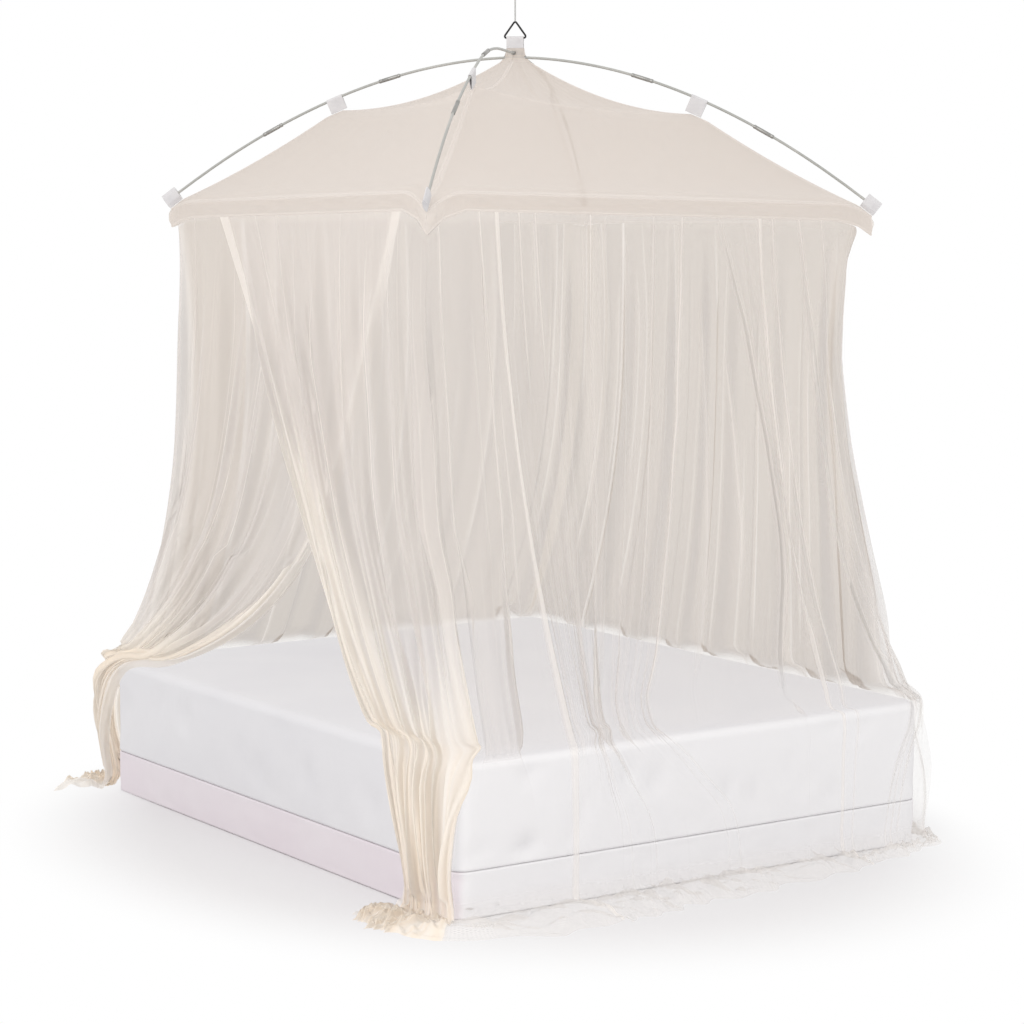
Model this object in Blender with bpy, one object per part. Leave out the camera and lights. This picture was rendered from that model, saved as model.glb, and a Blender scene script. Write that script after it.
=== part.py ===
"""Square mosquito net canopy on two crossed bent rods, hung from the ceiling over a plain double bed.

Metres, +Z up. The origin is on the floor under the middle of the bed, +X runs along the foot end
towards the closed side and +Y from the foot to the head. The near side at -X holds the entry, where
two curtain widths overlap and are swept to the bed's corners.
"""

import math

import bmesh
import bpy
import numpy as np
from mathutils import Matrix, Vector

# Fit between pieces
GAP = 0.0003  # between pieces that touch
SEAM_HALF_GAP = GAP / 2
EDGE_CLEARANCE = 0.002  # from draped cloth to an edge it falls over

# Bed
BED_WIDTH = 1.66
BED_LENGTH = 2.04
BASE_HEIGHT = 0.13
BED_TOP = 0.43
BED_CORNER_RADIUS = 0.05
MATTRESS_EDGE_RADIUS = 0.03

# Canopy plan: the corners lie under the rod ends
CANOPY_HALF = (0.791, 0.7365)
CANOPY_CENTRE = (0.038, -0.026)
HALF_DIAGONAL = math.hypot(*CANOPY_HALF)

# Corners in their walk round the bed, seen from above anticlockwise. A place on the walls is a wall
# coordinate: whole numbers are corners and the fraction is the share of the wall walked.
CORNERS = ("foot_left", "foot_right", "head_right", "head_left")
WALLS = ("foot", "right", "head", "left")
CORNER_SIGNS = ((-1, -1), (1, -1), (1, 1), (-1, 1))

# Net cloth
NET_THICKNESS = 0.0016

# Rods: two bent glass-fibre rods in six lengths each, joined by ferrules
ROD_RADIUS = 0.004
ROD_SIDES = 8
FERRULE_RADIUS = 0.006
FERRULE_LENGTH = 0.070
FERRULE_PLACES = (-0.70, -0.36, 0.0, 0.36, 0.70)  # shares of the half diagonal
FERRULE_TRIM = 0.001  # its ends stop this far short of the rod's points
SLEEVE_INNER = (ROD_RADIUS + GAP) / math.cos(math.pi / ROD_SIDES)
LOW_ROD_PEAK = 2.344
HIGH_ROD_PEAK = LOW_ROD_PEAK + 2 * FERRULE_RADIUS + GAP
LOW_ROD_POWER = 1.9  # how late the low rod bends down
SOCKET_MARGIN = 0.006  # straight rod before a pocket
ROD_TIP = 0.012  # how far the rod runs past the middle of its pocket
ROD_BETWEEN = (0.10, 0.18, 0.26, 0.44, 0.61, 0.80, 0.88)
ROD_END_HEIGHT = {"foot_left": 1.908, "foot_right": 1.900, "head_right": 1.904, "head_left": 1.920}
# the high rod bows up towards the near foot corner: share of the half diagonal, share of its rise
HIGH_ROD_RISE = {
    "foot_left": ((0.0, 1.0), (0.06, 1.001), (0.14, 1.008), (0.24, 1.008), (0.33, 0.985), (0.42, 0.93),
                  (0.52, 0.822), (0.61, 0.715), (0.70, 0.597), (0.80, 0.437), (0.90, 0.247), (1.0, 0.028),
                  (1.02, -0.022)),
    "head_right": ((0.0, 1.0), (0.04, 1.0), (0.08, 0.993), (0.14, 0.976), (0.24, 0.946), (0.33, 0.912),
                   (0.42, 0.862), (0.52, 0.785), (0.61, 0.693), (0.70, 0.583), (0.80, 0.432),
                   (0.90, 0.247), (1.0, 0.028), (1.02, -0.022)),
}

# Webbing
WEBBING_THICKNESS = 0.0016
WEBBING_WIDTH = 0.052
TAB_PLACE = 0.52
TAB_HALF_SHARE = WEBBING_WIDTH / 2 / HALF_DIAGONAL
TAB_DROP = {"foot_left": 0.045, "foot_right": 0.053, "head_right": 0.045, "head_left": 0.043}
POCKET_LENGTH = 0.050
POCKET_HEIGHT = 0.046
POCKET_THICKNESS = 0.0135
POCKET_BORE_DEPTH = 0.038
POCKET_FLAT_SHARE = 0.45  # of its half height, where the pocket is full thickness
TAB_PLY_HALF_GAP = 0.0008
LOOP_PLY_HALF_GAP = 0.0045

# Roof
PEAK_SHARE = 0.042  # the gores end round the peak collar here
PEAK_HEIGHT = 2.331
HIP_SAG = (0.036, 0.012)  # between peak and tab, between tab and pocket
GORE_SAG = 0.022
STEEPEST_GORE = 1.6  # most that its plumb thickness grows by where it is steep
EAVE_LIFT_START = 0.80  # share of the way down where the gore starts to turn up to its eave
EAVE_BOW = 0.018
EAVE_HEIGHT = {"foot_left": 1.944, "foot_right": 1.902, "head_right": 1.880, "head_left": 1.907}
CORNER_DIP_REACH = 0.13
VALANCE_DROP = 0.052
VALANCE_CORNER_DROP = 0.062

# Peak collar, webbing loop, ring, cord and ceiling hook
COLLAR_STAND = 0.0027  # over the middle of the roof's inner edge
COLLAR_TOP = 2.3720
COLLAR_TOP_HALF = (0.028, 0.0075)
COLLAR_THICKNESS = 0.002
COLLAR_HOLE_CLEARANCE = 0.0012
RING_WIRE_RADIUS = 0.003
RING_BAR_HEIGHT = 2.403
RING_TOP_HEIGHT = 2.4505
RING_HALF_WIDTH = 0.032
CORD_RADIUS = 0.0025
CORD_TOP = 2.5280
HOOK_WIRE_RADIUS = 0.002
HOOK_EYE_RADIUS = 0.010
CEILING_HEIGHT = 2.572
PLATE_RADIUS = 0.022
PLATE_THICKNESS = 0.005

# Curtain walls between the valance and the bed's edge, by share of the drop
WALL_TOP = 1.860
WALL_SHARES = (0.0, 0.08, 0.28, 0.48, 0.66, 0.80, 0.91)
LEAN_POWER = 2.4  # the walls hang plumb first and flare to the bed late
LEAN_HOLLOW = 0.10
# corner radii of the walls in plan: share of the drop, then a radius for each corner
WALL_RADIUS = (
    (0.00, 0.04, 0.06, 0.05, 0.04),
    (0.08, 0.08, 0.16, 0.10, 0.06),
    (0.30, 0.12, 0.22, 0.16, 0.07),
    (0.50, 0.10, 0.19, 0.14, 0.08),
    (0.70, 0.08, 0.12, 0.09, 0.07),
    (0.85, 0.05, 0.06, 0.05, 0.05),
    (1.00, 0.02, 0.02, 0.02, 0.02),
)
CLOTH_CLEARANCE = EDGE_CLEARANCE + NET_THICKNESS / 2 + 0.0015  # from the middle of the cloth to the bed
FACE_CLEARANCE = NET_THICKNESS / 2 + GAP  # the same where it hangs against the bed's sides
BEND_EXTRA = 0.0035  # more where the cloth turns over the mattress's edge
CLOTH_CORNER_RADIUS = 0.012  # tighter than the bed's corner, so that no chord of the cloth cuts it
LAY_HEIGHT = BED_TOP + CLOTH_CLEARANCE
FALL_HEIGHT = 0.21  # where the fall bulges most
FOOT_RUN = 0.004  # how far the fall has left the bed's side where it meets the floor

# How the cloth falls below the bed's edge. Each row has a wall coordinate of the bed, how far the cloth
# bulges half way down there, how far its hem spreads on the floor, and how high it crumples.
FALL = (
    (0.00, 0.020, 0.190, 0.030),
    (0.12, 0.008, 0.262, 0.034),
    (0.50, 0.000, 0.215, 0.040),
    (0.76, 0.000, 0.165, 0.030),
    (0.95, 0.006, 0.070, 0.018),
    (1.00, 0.010, 0.080, 0.018),
    (1.15, 0.008, 0.200, 0.026),
    (1.50, 0.000, 0.222, 0.034),
    (1.90, 0.008, 0.160, 0.028),
    (2.00, 0.012, 0.120, 0.024),
    (2.30, 0.000, 0.240, 0.034),
    (2.70, 0.000, 0.262, 0.034),
    (2.90, 0.030, 0.200, 0.028),
    (2.94, 0.075, 0.180, 0.026),
    (2.98, 0.100, 0.180, 0.024),
    (3.01, 0.080, 0.180, 0.024),
    (3.05, 0.020, 0.180, 0.024),
    (3.80, 0.035, 0.190, 0.030),
    (3.92, 0.050, 0.215, 0.034),
    (4.00, 0.020, 0.190, 0.030),
)

# Curtain widths. top, bed and floor give the same cloth's places along the valance, the bed's edge
# and the floor. early is the share of the sideways sweep made evenly on the way down; the rest comes
# late. layer is +1 outside the neighbour at the entry, -1 inside it and 0 where a width is alone.
CURTAINS = (
    {"name": "curtain_foot_left", "folds": 9, "late_power": 5.0, "phase": 0.4,
     "top": (3.197, 3.45, 3.75, 4.0, 4.147), "bed": (3.805, 3.880, 3.955, 4.016, 4.238),
     "floor": (3.880, 3.915, 3.955, 4.0, 4.238), "early": (1.0, 0.75, 0.35, 1.0, 1.0),
     "fullness": (1.00, 1.06, 1.10, 1.12, 1.10), "layer": (1, 1, 1, 1, 0)},
    {"name": "curtain_foot", "folds": 6, "late_power": 4.0, "phase": 1.9,
     "top": (0.147, 0.736), "bed": (0.238, 0.8125), "floor": (0.238, 0.8125),
     "early": (1.0, 1.0), "fullness": (1.07, 1.05), "layer": (0, 0)},
    {"name": "curtain_foot_right", "folds": 8, "late_power": 4.0, "phase": 0.9,
     "top": (0.736, 1.0, 1.84), "bed": (0.8125, 1.0, 1.84), "floor": (0.8125, 1.0, 1.84),
     "early": (1.0, 1.0, 1.0), "fullness": (1.06, 1.10, 1.06), "layer": (0, 0, 0)},
    {"name": "curtain_head_right", "folds": 7, "late_power": 4.0, "phase": 2.6,
     "top": (1.84, 2.0, 2.848), "bed": (1.84, 2.0, 2.83), "floor": (1.84, 2.0, 2.83),
     "early": (1.0, 1.0, 1.0), "fullness": (1.06, 1.10, 1.06), "layer": (0, 0, 0)},
    {"name": "curtain_head_left", "folds": 8, "late_power": 6.5, "phase": 3.3,
     "top": (2.848, 3.0, 3.25, 3.903), "bed": (2.83, 2.945, 2.985, 3.050),
     "floor": (2.83, 2.930, 2.965, 3.008), "early": (1.0, 0.85, 0.65, 0.58),
     "fullness": (1.06, 1.08, 1.06, 1.00), "layer": (0, 0, -1, -1)},
)
SEAM_LAYER = 0.0011  # how far a layer stands off the seam under the valance
HUNG_LAYER = 0.0040  # and lower down
INNER_LAYER_SHARE = 0.62  # the inner layer comes free of the outer one below this share of the drop
FOLD_LIMIT = 0.032  # deepest fold, from trough to crest
MITRE_LIMIT = 0.67  # least bluntness that a crease's mitre follows
CREST_LEAD = 0.5  # how much of the fold's depth before the mattress its crest turns
EDGE_DROPS = {"bend": 0.05, "edge": 0.2, "fall": 0.9}  # shares of the way from bed to floor places
FOLD_START = 0.06  # share of the folds' depth under the valance
FOLD_GROWTH = 4.0  # how fast they deepen with the share of the drop
FOLD_PARTS = ((0.0, -1), (0.24, -1), (0.50, 1), (0.76, 1))  # place in the fold, trough or crest
FOOT_FOLD_SHARE = 0.7  # of a fold's depth where the cloth meets the floor
HEM_UNEVEN = 0.012  # how far the hem wanders
LEAST_RUN_OUT = 0.05
CRUMPLE_SHARES = (0.45, 0.15, 0.12)  # even, with the folds, uneven

# Colours: base colour, roughness, metallic
FINISHES = {
    "net": ((0.86, 0.80, 0.71), 0.9, 0.0),
    "webbing": ((0.80, 0.80, 0.80), 0.75, 0.0),
    "rod": ((0.55, 0.55, 0.52), 0.45, 0.0),
    "ferrule": ((0.32, 0.32, 0.31), 0.35, 0.8),
    "ring": ((0.02, 0.02, 0.02), 0.35, 0.6),
    "cord": ((0.62, 0.62, 0.60), 0.8, 0.0),
    "hook": ((0.70, 0.70, 0.68), 0.3, 0.9),
    "mattress": ((0.86, 0.86, 0.88), 0.9, 0.0),
    "base": ((0.84, 0.78, 0.80), 0.9, 0.0),
}


def clear_scene():
    """Removes what the scene holds."""
    for old in list(bpy.data.objects):
        bpy.data.objects.remove(old, do_unlink=True)


def finish(name):
    """The named finish as a material, made once."""
    material = bpy.data.materials.get(name)
    if material is None:
        colour, roughness, metallic = FINISHES[name]
        material = bpy.data.materials.new(name)
        material.use_nodes = True
        shader = material.node_tree.nodes["Principled BSDF"]
        shader.inputs["Base Color"].default_value = (*colour, 1.0)
        shader.inputs["Roughness"].default_value = roughness
        shader.inputs["Metallic"].default_value = metallic
    return material


def add_object(name, data, finish_name):
    """Links new object data under its name with its finish."""
    data.materials.append(finish(finish_name))
    made = bpy.data.objects.new(name, data)
    bpy.context.scene.collection.objects.link(made)
    return made


def add_bmesh(name, bm, finish_name, smooth_angle=None):
    """Turns a bmesh into a named object."""
    mesh = bpy.data.meshes.new(name)
    bm.to_mesh(mesh)
    bm.free()
    if smooth_angle is not None:
        mesh.shade_smooth()
        mesh.set_sharp_from_angle(angle=math.radians(smooth_angle))
    return add_object(name, mesh, finish_name)


def corner_vector(corner):
    """From the canopy's centre to a corner, in plan."""
    sign_x, sign_y = CORNER_SIGNS[corner % 4]
    return np.array([sign_x * CANOPY_HALF[0], sign_y * CANOPY_HALF[1]])


def plan_point(corner, share, height):
    """A point over a canopy diagonal: share 0 at the centre, 1 over the corner."""
    x, y = np.array(CANOPY_CENTRE) + share * corner_vector(corner)
    return np.array([x, y, height])


def rod_height(corner, share):
    """Height of the rod that ends at this corner."""
    name = CORNERS[corner % 4]
    end, share = ROD_END_HEIGHT[name], abs(share)
    if corner % 2:  # the low rod joins foot_right to head_left
        return LOW_ROD_PEAK - (LOW_ROD_PEAK - end) * share**LOW_ROD_POWER
    shares, rises = np.array(HIGH_ROD_RISE[name]).T
    return end + (HIGH_ROD_PEAK - end) * float(np.interp(share, shares, rises))


def rod_slope(corner, share):
    """Unit vector along the rod at a share, pointing outwards and down, and its downward normal."""
    step = 0.01
    outward = np.append(corner_vector(corner) / HALF_DIAGONAL, 0.0)
    fall = rod_height(corner, share + step) - rod_height(corner, share - step)
    along = outward + np.array([0.0, 0.0, fall / (2 * step * HALF_DIAGONAL)])
    along /= np.linalg.norm(along)
    across = np.cross(outward, (0.0, 0.0, 1.0))
    down = np.cross(along, across)
    if down[2] > 0:
        down = -down
    return along, down, across


def pocket_underside(corner, share):
    """Height of the pocket's lower edge over the diagonal at a share near 1."""
    along, down, _ = rod_slope(corner, 1.0)
    outward = np.append(corner_vector(corner) / HALF_DIAGONAL, 0.0)
    edge = down * POCKET_HEIGHT / 2
    travel = ((share - 1.0) * HALF_DIAGONAL - edge @ outward) / (along @ outward)
    return rod_height(corner, 1.0) + edge[2] + travel * along[2]


def pocket_inner_share(corner):
    """Share of the diagonal at the pocket's lower inner corner."""
    along, down, _ = rod_slope(corner, 1.0)
    outward = np.append(corner_vector(corner) / HALF_DIAGONAL, 0.0)
    inner = down * POCKET_HEIGHT / 2 - along * POCKET_LENGTH / 2
    return 1.0 + (inner @ outward) / HALF_DIAGONAL


def hip_height(corner, share):
    """Height of the roof's hip seam: held at the peak, parallel under the tab and under the pocket."""
    name = CORNERS[corner % 4]
    lift = GAP + NET_THICKNESS
    shoulder = pocket_inner_share(corner) - 0.002
    if share >= shoulder:
        return pocket_underside(corner, share) - lift

    def tab_line(place):
        return rod_height(corner, place) - TAB_DROP[name] - lift

    tab_start, tab_end = TAB_PLACE - TAB_HALF_SHARE, TAB_PLACE + TAB_HALF_SHARE
    if share > tab_end:
        part = (share - tab_end) / (shoulder - tab_end)
        high, low = tab_line(tab_end), pocket_underside(corner, shoulder) - lift
        return high + (low - high) * part - HIP_SAG[1] * 4 * part * (1 - part)
    if share > tab_start:
        return tab_line(share)
    part = (share - PEAK_SHARE) / (tab_start - PEAK_SHARE)
    high, low = PEAK_HEIGHT, tab_line(tab_start)
    return high + (low - high) * part - HIP_SAG[0] * 4 * part * (1 - part)


def wall_length(wall):
    """Length of a canopy side."""
    return 2 * CANOPY_HALF[wall % 2]


def wall_knots(wall):
    """Shares of a wall where its roof gore and valance have their columns."""
    near, far = 0.05 / wall_length(wall), CORNER_DIP_REACH / wall_length(wall)
    return (0.0, near, far, 0.26, 0.42, 0.58, 0.74, 1 - far, 1 - near, 1.0)


def eave_height(wall, share):
    """Height of the seam between the gore and the valance: level, but drawn down at the pockets."""
    start, end = EAVE_HEIGHT[CORNERS[wall % 4]], EAVE_HEIGHT[CORNERS[(wall + 1) % 4]]
    height = start + (end - start) * share
    for corner, walked in ((wall, share), (wall + 1, 1 - share)):
        reach = 1 - walked * wall_length(wall) / CORNER_DIP_REACH
        if reach > 0:
            height += (hip_height(corner, 1.0) - EAVE_HEIGHT[CORNERS[corner % 4]]) * reach**2
    return height


def valance_foot(wall, share):
    """Height of the valance's lower seam, straight between its knots."""
    def at_knot(knot):
        nearest = min(knot, 1 - knot) * wall_length(wall)
        corner_part = max(0.0, 1 - nearest / CORNER_DIP_REACH) ** 2
        return eave_height(wall, knot) - VALANCE_DROP - (VALANCE_CORNER_DROP - VALANCE_DROP) * corner_part

    knots = wall_knots(wall)
    return float(np.interp(share, knots, [at_knot(knot) for knot in knots]))


def eave_point(wall, share):
    """Plan point of the eave line, bowed in a little between the corners."""
    start, end = corner_vector(wall), corner_vector(wall + 1)
    along = (end - start) / np.linalg.norm(end - start)
    inward = np.array([-along[1], along[0]])
    plan = np.array(CANOPY_CENTRE) + start + (end - start) * share
    return plan + inward * EAVE_BOW * 4 * share * (1 - share)


def grid_solid(name, front, back, finish_name, smooth_angle=50):
    """A closed sheet between two grids of points, front facing out when rows run down and columns
    run to the right of a viewer outside."""
    rows, columns = front.shape[:2]
    bm = bmesh.new()
    outer = [[bm.verts.new(front[r, c]) for c in range(columns)] for r in range(rows)]
    inner = [[bm.verts.new(back[r, c]) for c in range(columns)] for r in range(rows)]
    for r in range(rows - 1):
        for c in range(columns - 1):
            corners = ((r, c), (r + 1, c), (r + 1, c + 1), (r, c + 1))
            for grid, order in ((outer, ((0, 1, 2), (0, 2, 3))), (inner, ((2, 1, 0), (3, 2, 0)))):
                for triangle in order:
                    bm.faces.new([grid[corners[k][0]][corners[k][1]] for k in triangle])
    rim = [(0, c) for c in range(columns)]
    rim += [(r, columns - 1) for r in range(1, rows)]
    rim += [(rows - 1, c) for c in range(columns - 2, -1, -1)]
    rim += [(r, 0) for r in range(rows - 2, 0, -1)]
    for (r0, c0), (r1, c1) in zip(rim, rim[1:] + rim[:1]):
        bm.faces.new((outer[r0][c0], outer[r1][c1], inner[r1][c1], inner[r0][c0]))
    bm.normal_update()
    return add_bmesh(name, bm, finish_name, smooth_angle)


def roof_gore(wall):
    """One of the four roof panels, sagging between its hips."""
    knots = wall_knots(wall)
    tab_start, tab_end = TAB_PLACE - TAB_HALF_SHARE, TAB_PLACE + TAB_HALF_SHARE
    shoulder = (pocket_inner_share(wall) + pocket_inner_share(wall + 1)) / 2
    shares = (PEAK_SHARE, 0.14, 0.28, tab_start, tab_end, 0.68, 0.83, shoulder - 0.002, 1.0)
    start, end = corner_vector(wall), corner_vector(wall + 1)
    along = (end - start) / np.linalg.norm(end - start)
    middle = np.zeros((len(shares), len(knots), 3))
    for r, share in enumerate(shares):
        down = (share - PEAK_SHARE) / (1 - PEAK_SHARE)
        for c, knot in enumerate(knots):
            eave = eave_point(wall, knot)
            plan = np.array(CANOPY_CENTRE) + (eave - np.array(CANOPY_CENTRE)) * share
            if knot in (0.0, 1.0):  # keep half a seam's gap from the plane of the hip
                hip = start if knot == 0.0 else end
                square = abs(along @ np.array([hip[1], -hip[0]])) / HALF_DIAGONAL
                plan = plan + along * (1 if knot == 0.0 else -1) * SEAM_HALF_GAP / square
            ruled = hip_height(wall, share) * (1 - knot) + hip_height(wall + 1, share) * knot
            sag = GORE_SAG * 4 * knot * (1 - knot) * math.sin(math.pi * down)
            at_eave = max(0.0, (down - EAVE_LIFT_START) / (1 - EAVE_LIFT_START)) ** 2
            lift = (eave_height(wall, knot) - hip_height(wall, 1.0) * (1 - knot)
                    - hip_height(wall + 1, 1.0) * knot)
            middle[r, c] = (*plan, ruled - sag + lift * at_eave)
    tilt_down = np.gradient(middle, axis=0)
    tilt_along = np.gradient(middle, axis=1)
    normal = np.cross(tilt_down, tilt_along)
    steepness = np.linalg.norm(normal, axis=2) / np.maximum(np.abs(normal[..., 2]), 1e-9)
    half = np.zeros_like(middle)
    half[..., 2] = NET_THICKNESS / 2 * np.minimum(steepness, STEEPEST_GORE)
    return grid_solid(f"roof_gore_{WALLS[wall]}", middle + half, middle - half, "net")


def valance_strip(wall):
    """The band between the roof and the curtains on one side, mitred at the corners."""
    knots = wall_knots(wall)
    start, end = corner_vector(wall), corner_vector(wall + 1)
    along = (end - start) / np.linalg.norm(end - start)
    outward = np.array([along[1], -along[0]])
    rows = (0.0, 0.45, 1.0)
    puff = (0.0, 0.004, 0.0)
    faces = {1: np.zeros((len(rows), len(knots), 3)), -1: np.zeros((len(rows), len(knots), 3))}
    slack = (STEEPEST_GORE + 0.2) * NET_THICKNESS / 2 + GAP  # under the gore's rim, which is cut plumb
    for c, knot in enumerate(knots):
        top, foot = eave_height(wall, knot) - slack, valance_foot(wall, knot)
        plan = eave_point(wall, knot)
        for r, row in enumerate(rows):
            for side, grid in faces.items():
                offset = puff[r] + side * NET_THICKNESS / 2
                point = plan + outward * offset
                if knot in (0.0, 1.0):
                    hip = start if knot == 0.0 else end
                    inward = along if knot == 0.0 else -along
                    across = np.array([hip[1], -hip[0]]) / HALF_DIAGONAL
                    from_plane = (point - np.array(CANOPY_CENTRE)) @ across
                    toward = 1.0 if inward @ across > 0 else -1.0
                    need = (SEAM_HALF_GAP * toward - from_plane) / (inward @ across)
                    point = point + inward * need
                grid[r, c] = (*point, top + (foot - top) * row)
    return grid_solid(f"valance_{WALLS[wall]}", faces[1], faces[-1], "net")


def perimeter(place, half, centre, radii):
    """Plan point and outward normal on a rectangle with round corners at a wall coordinate."""
    wall = math.floor(place)
    share = place - wall
    start = np.array(CORNER_SIGNS[wall % 4]) * half + centre
    end = np.array(CORNER_SIGNS[(wall + 1) % 4]) * half + centre
    length = np.linalg.norm(end - start)
    along = (end - start) / length
    outward = np.array([along[1], -along[0]])
    near_start = share <= 0.5
    distance = (share if near_start else 1 - share) * length
    radius = radii[(wall if near_start else wall + 1) % 4]
    if distance >= radius:
        return start + along * share * length, outward
    turn = math.pi / 4 * (1 - distance / radius)
    from_corner = along if near_start else -along
    centre_of_arc = (start if near_start else end) + (from_corner - outward) * radius
    direction = outward * math.cos(turn) - from_corner * math.sin(turn)
    return centre_of_arc + direction * radius, direction


def wall_point(place, height):
    """Plan point and outward normal of the hanging walls at a wall coordinate and a height."""
    share = min(max((WALL_TOP - height) / (WALL_TOP - LAY_HEIGHT), 0.0), 1.0)
    lean = share**LEAN_POWER - LEAN_HOLLOW * math.sin(math.pi * share)
    canopy, over_bed = np.array(CANOPY_HALF), np.array([BED_WIDTH, BED_LENGTH]) / 2 - MATTRESS_EDGE_RADIUS
    table = np.array(WALL_RADIUS).T
    radii = [float(np.interp(share, table[0], column)) for column in table[1:]]
    half = canopy + (over_bed - canopy) * lean
    plan, normal = perimeter(place, half, np.array(CANOPY_CENTRE) * (1 - lean), radii)
    part = place - math.floor(place)
    return plan - normal * EAVE_BOW * 4 * part * (1 - part) * (1 - share) ** 2, normal


def bed_point(place, outward):
    """Plan point and outward normal at a distance outside the bed's sides, by wall coordinate."""
    half = np.array([BED_WIDTH, BED_LENGTH]) / 2 + outward
    return perimeter(place, half, np.zeros(2), (CLOTH_CORNER_RADIUS + max(outward, 0.0),) * 4)


def fold_columns(width):
    """The columns of a curtain width: their places along the valance, their wave (-1 in a trough and
    +1 on a crest), how deep their fold is beside the others, and the cloth in it at the valance."""
    folds, phase = width["folds"], width["phase"]
    first, last = width["top"][0], width["top"][-1]
    sizes = np.array([1 + 0.34 * math.sin(1.9 * k + phase) for k in range(folds)])
    edges = first + (last - first) * np.concatenate(([0.0], np.cumsum(sizes) / sizes.sum()))
    places, waves, depths, cloth = [], [], [], []
    for k in range(folds):
        for part, wave in FOLD_PARTS:
            places.append(edges[k] + (edges[k + 1] - edges[k]) * part)
            waves.append(wave)
            depths.append(0.80 + 0.28 * math.sin(2.7 * k + 2 * phase))
            cloth.append((edges[k + 1] - edges[k]) * wall_length(math.floor(places[-1])))
    places.append(edges[-1])
    waves.append(-1)
    depths.append(0.8)
    cloth.append(cloth[-1])
    for corner in range(math.ceil(first), math.floor(last) + 1):
        nearest = min(range(1, len(places) - 1), key=lambda i: abs(places[i] - corner))
        places[nearest] = float(corner)
    places[0] += SEAM_HALF_GAP / wall_length(math.floor(first))
    places[-1] -= SEAM_HALF_GAP / wall_length(math.floor(last))
    return np.array(places), np.array(waves), np.array(depths), np.array(cloth)


def fold_depth(cloth, fullness, squeeze, depths):
    """How far crests stand above troughs where the cloth is squeezed sideways to a share of its run."""
    depth = 0.5 * depths * cloth * np.sqrt(np.maximum(fullness**2 - squeeze**2, 0.0))
    depth = np.minimum(depth, FOLD_LIMIT * depths)
    depth[[0, -1]] = 0.0  # a seam or free edge lies flat
    return depth


def curtain_middle(width):
    """The middle of a curtain width's cloth as a grid of points, with its wall's outward normals."""
    places, waves, depths, cloth = fold_columns(width)
    bed_places, floor_places, early, fullness, layer = (
        np.interp(places, width["top"], width[key])
        for key in ("bed", "floor", "early", "fullness", "layer"))
    rows, normals = [], []

    def swept(share):
        sweep = early * share + (1 - early) * share ** width["late_power"]
        return places + (bed_places - places) * sweep

    for share in WALL_SHARES:
        here = swept(share)
        fold = fold_depth(cloth, fullness, np.gradient(here) / np.gradient(places), depths)
        fold *= min(1.0, FOLD_START + FOLD_GROWTH * share)
        side = np.where(layer < 0, layer + (1 - layer) * max(0.0, share - INNER_LAYER_SHARE) * 4, layer)
        side = np.minimum(side, 1.0)
        stand_off = layer * (SEAM_LAYER + (HUNG_LAYER - SEAM_LAYER) * min(1.0, share / WALL_SHARES[1]))
        row, out = [], []
        for i, place in enumerate(here):
            wall = min(math.floor(places[i]), math.ceil(width["top"][-1]) - 1)
            top = valance_foot(wall, places[i] - wall) - GAP - NET_THICKNESS / 4
            height = top + (LAY_HEIGHT - top) * share
            plan, normal = wall_point(place, height)
            row.append((*(plan + normal * (fold[i] * (waves[i] + side[i]) / 2 + stand_off[i])), height))
            out.append((*normal, 0.0))
        rows.append(row)
        normals.append(out)

    squeeze = np.gradient(bed_places) / np.gradient(places)
    fold = fold_depth(cloth, fullness, squeeze, depths) * (waves + 1) / 2
    fall_places, *fall_values = np.array(FALL).T
    falls = [np.interp(bed_places % 4, fall_places, values) for values in fall_values]
    for kind in ("lay", "bend", "edge", "fall", "floor", "crumple", "hem"):
        drop = EDGE_DROPS.get(kind, 1.0)
        here = bed_places + (floor_places - bed_places) * drop
        if kind == "lay":  # a crest turns before it reaches the mattress
            here = swept(1 - CREST_LEAD * fold / (WALL_TOP - LAY_HEIGHT))
        row, out = [], []
        for i, (bulge, reach, crumple) in enumerate(zip(*falls)):
            uneven = 0.5 * math.sin(10.6 * places[i] + width["phase"]) + 0.5 * math.sin(23.0 * places[i])
            run_out = max(reach - bulge, fold[i] + LEAST_RUN_OUT) + HEM_UNEVEN * uneven
            side, foot_fold = FACE_CLEARANCE + bulge, FOOT_FOLD_SHARE * fold[i]
            heave = crumple * np.dot(CRUMPLE_SHARES, (1.0, waves[i], uneven))
            outward, pleat, height = {
                "lay": (-MATTRESS_EDGE_RADIUS, fold[i], LAY_HEIGHT + fold[i]),
                "bend": bend_place(fold[i]),
                "edge": (CLOTH_CLEARANCE, fold[i], BED_TOP - MATTRESS_EDGE_RADIUS),
                "fall": (side, fold[i], FALL_HEIGHT),
                "floor": (side + FOOT_RUN, foot_fold, foot_fold),
                "crumple": (side + FOOT_RUN, 0.5 * run_out, heave),
                "hem": (side + FOOT_RUN, run_out, 0.0),
            }[kind]
            plan, normal = bed_point(here[i], outward)
            row.append((*(plan + normal * pleat), height))
            out.append((*normal, 0.0))
        rows.append(row)
        normals.append(out)
    return np.array(rows), np.array(normals)


def bend_place(fold):
    """Half way round the mattress's edge: distance outside the bed, more of it in the fold, height."""
    arm = (MATTRESS_EDGE_RADIUS + CLOTH_CLEARANCE + BEND_EXTRA) * math.sqrt(0.5)
    lift = fold * math.sqrt(0.5)
    return arm - MATTRESS_EDGE_RADIUS, lift, BED_TOP - MATTRESS_EDGE_RADIUS + arm + lift


def unit(vectors):
    """Vectors scaled to length 1 along the last axis."""
    return vectors / np.maximum(np.linalg.norm(vectors, axis=-1, keepdims=True), 1e-9)


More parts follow.
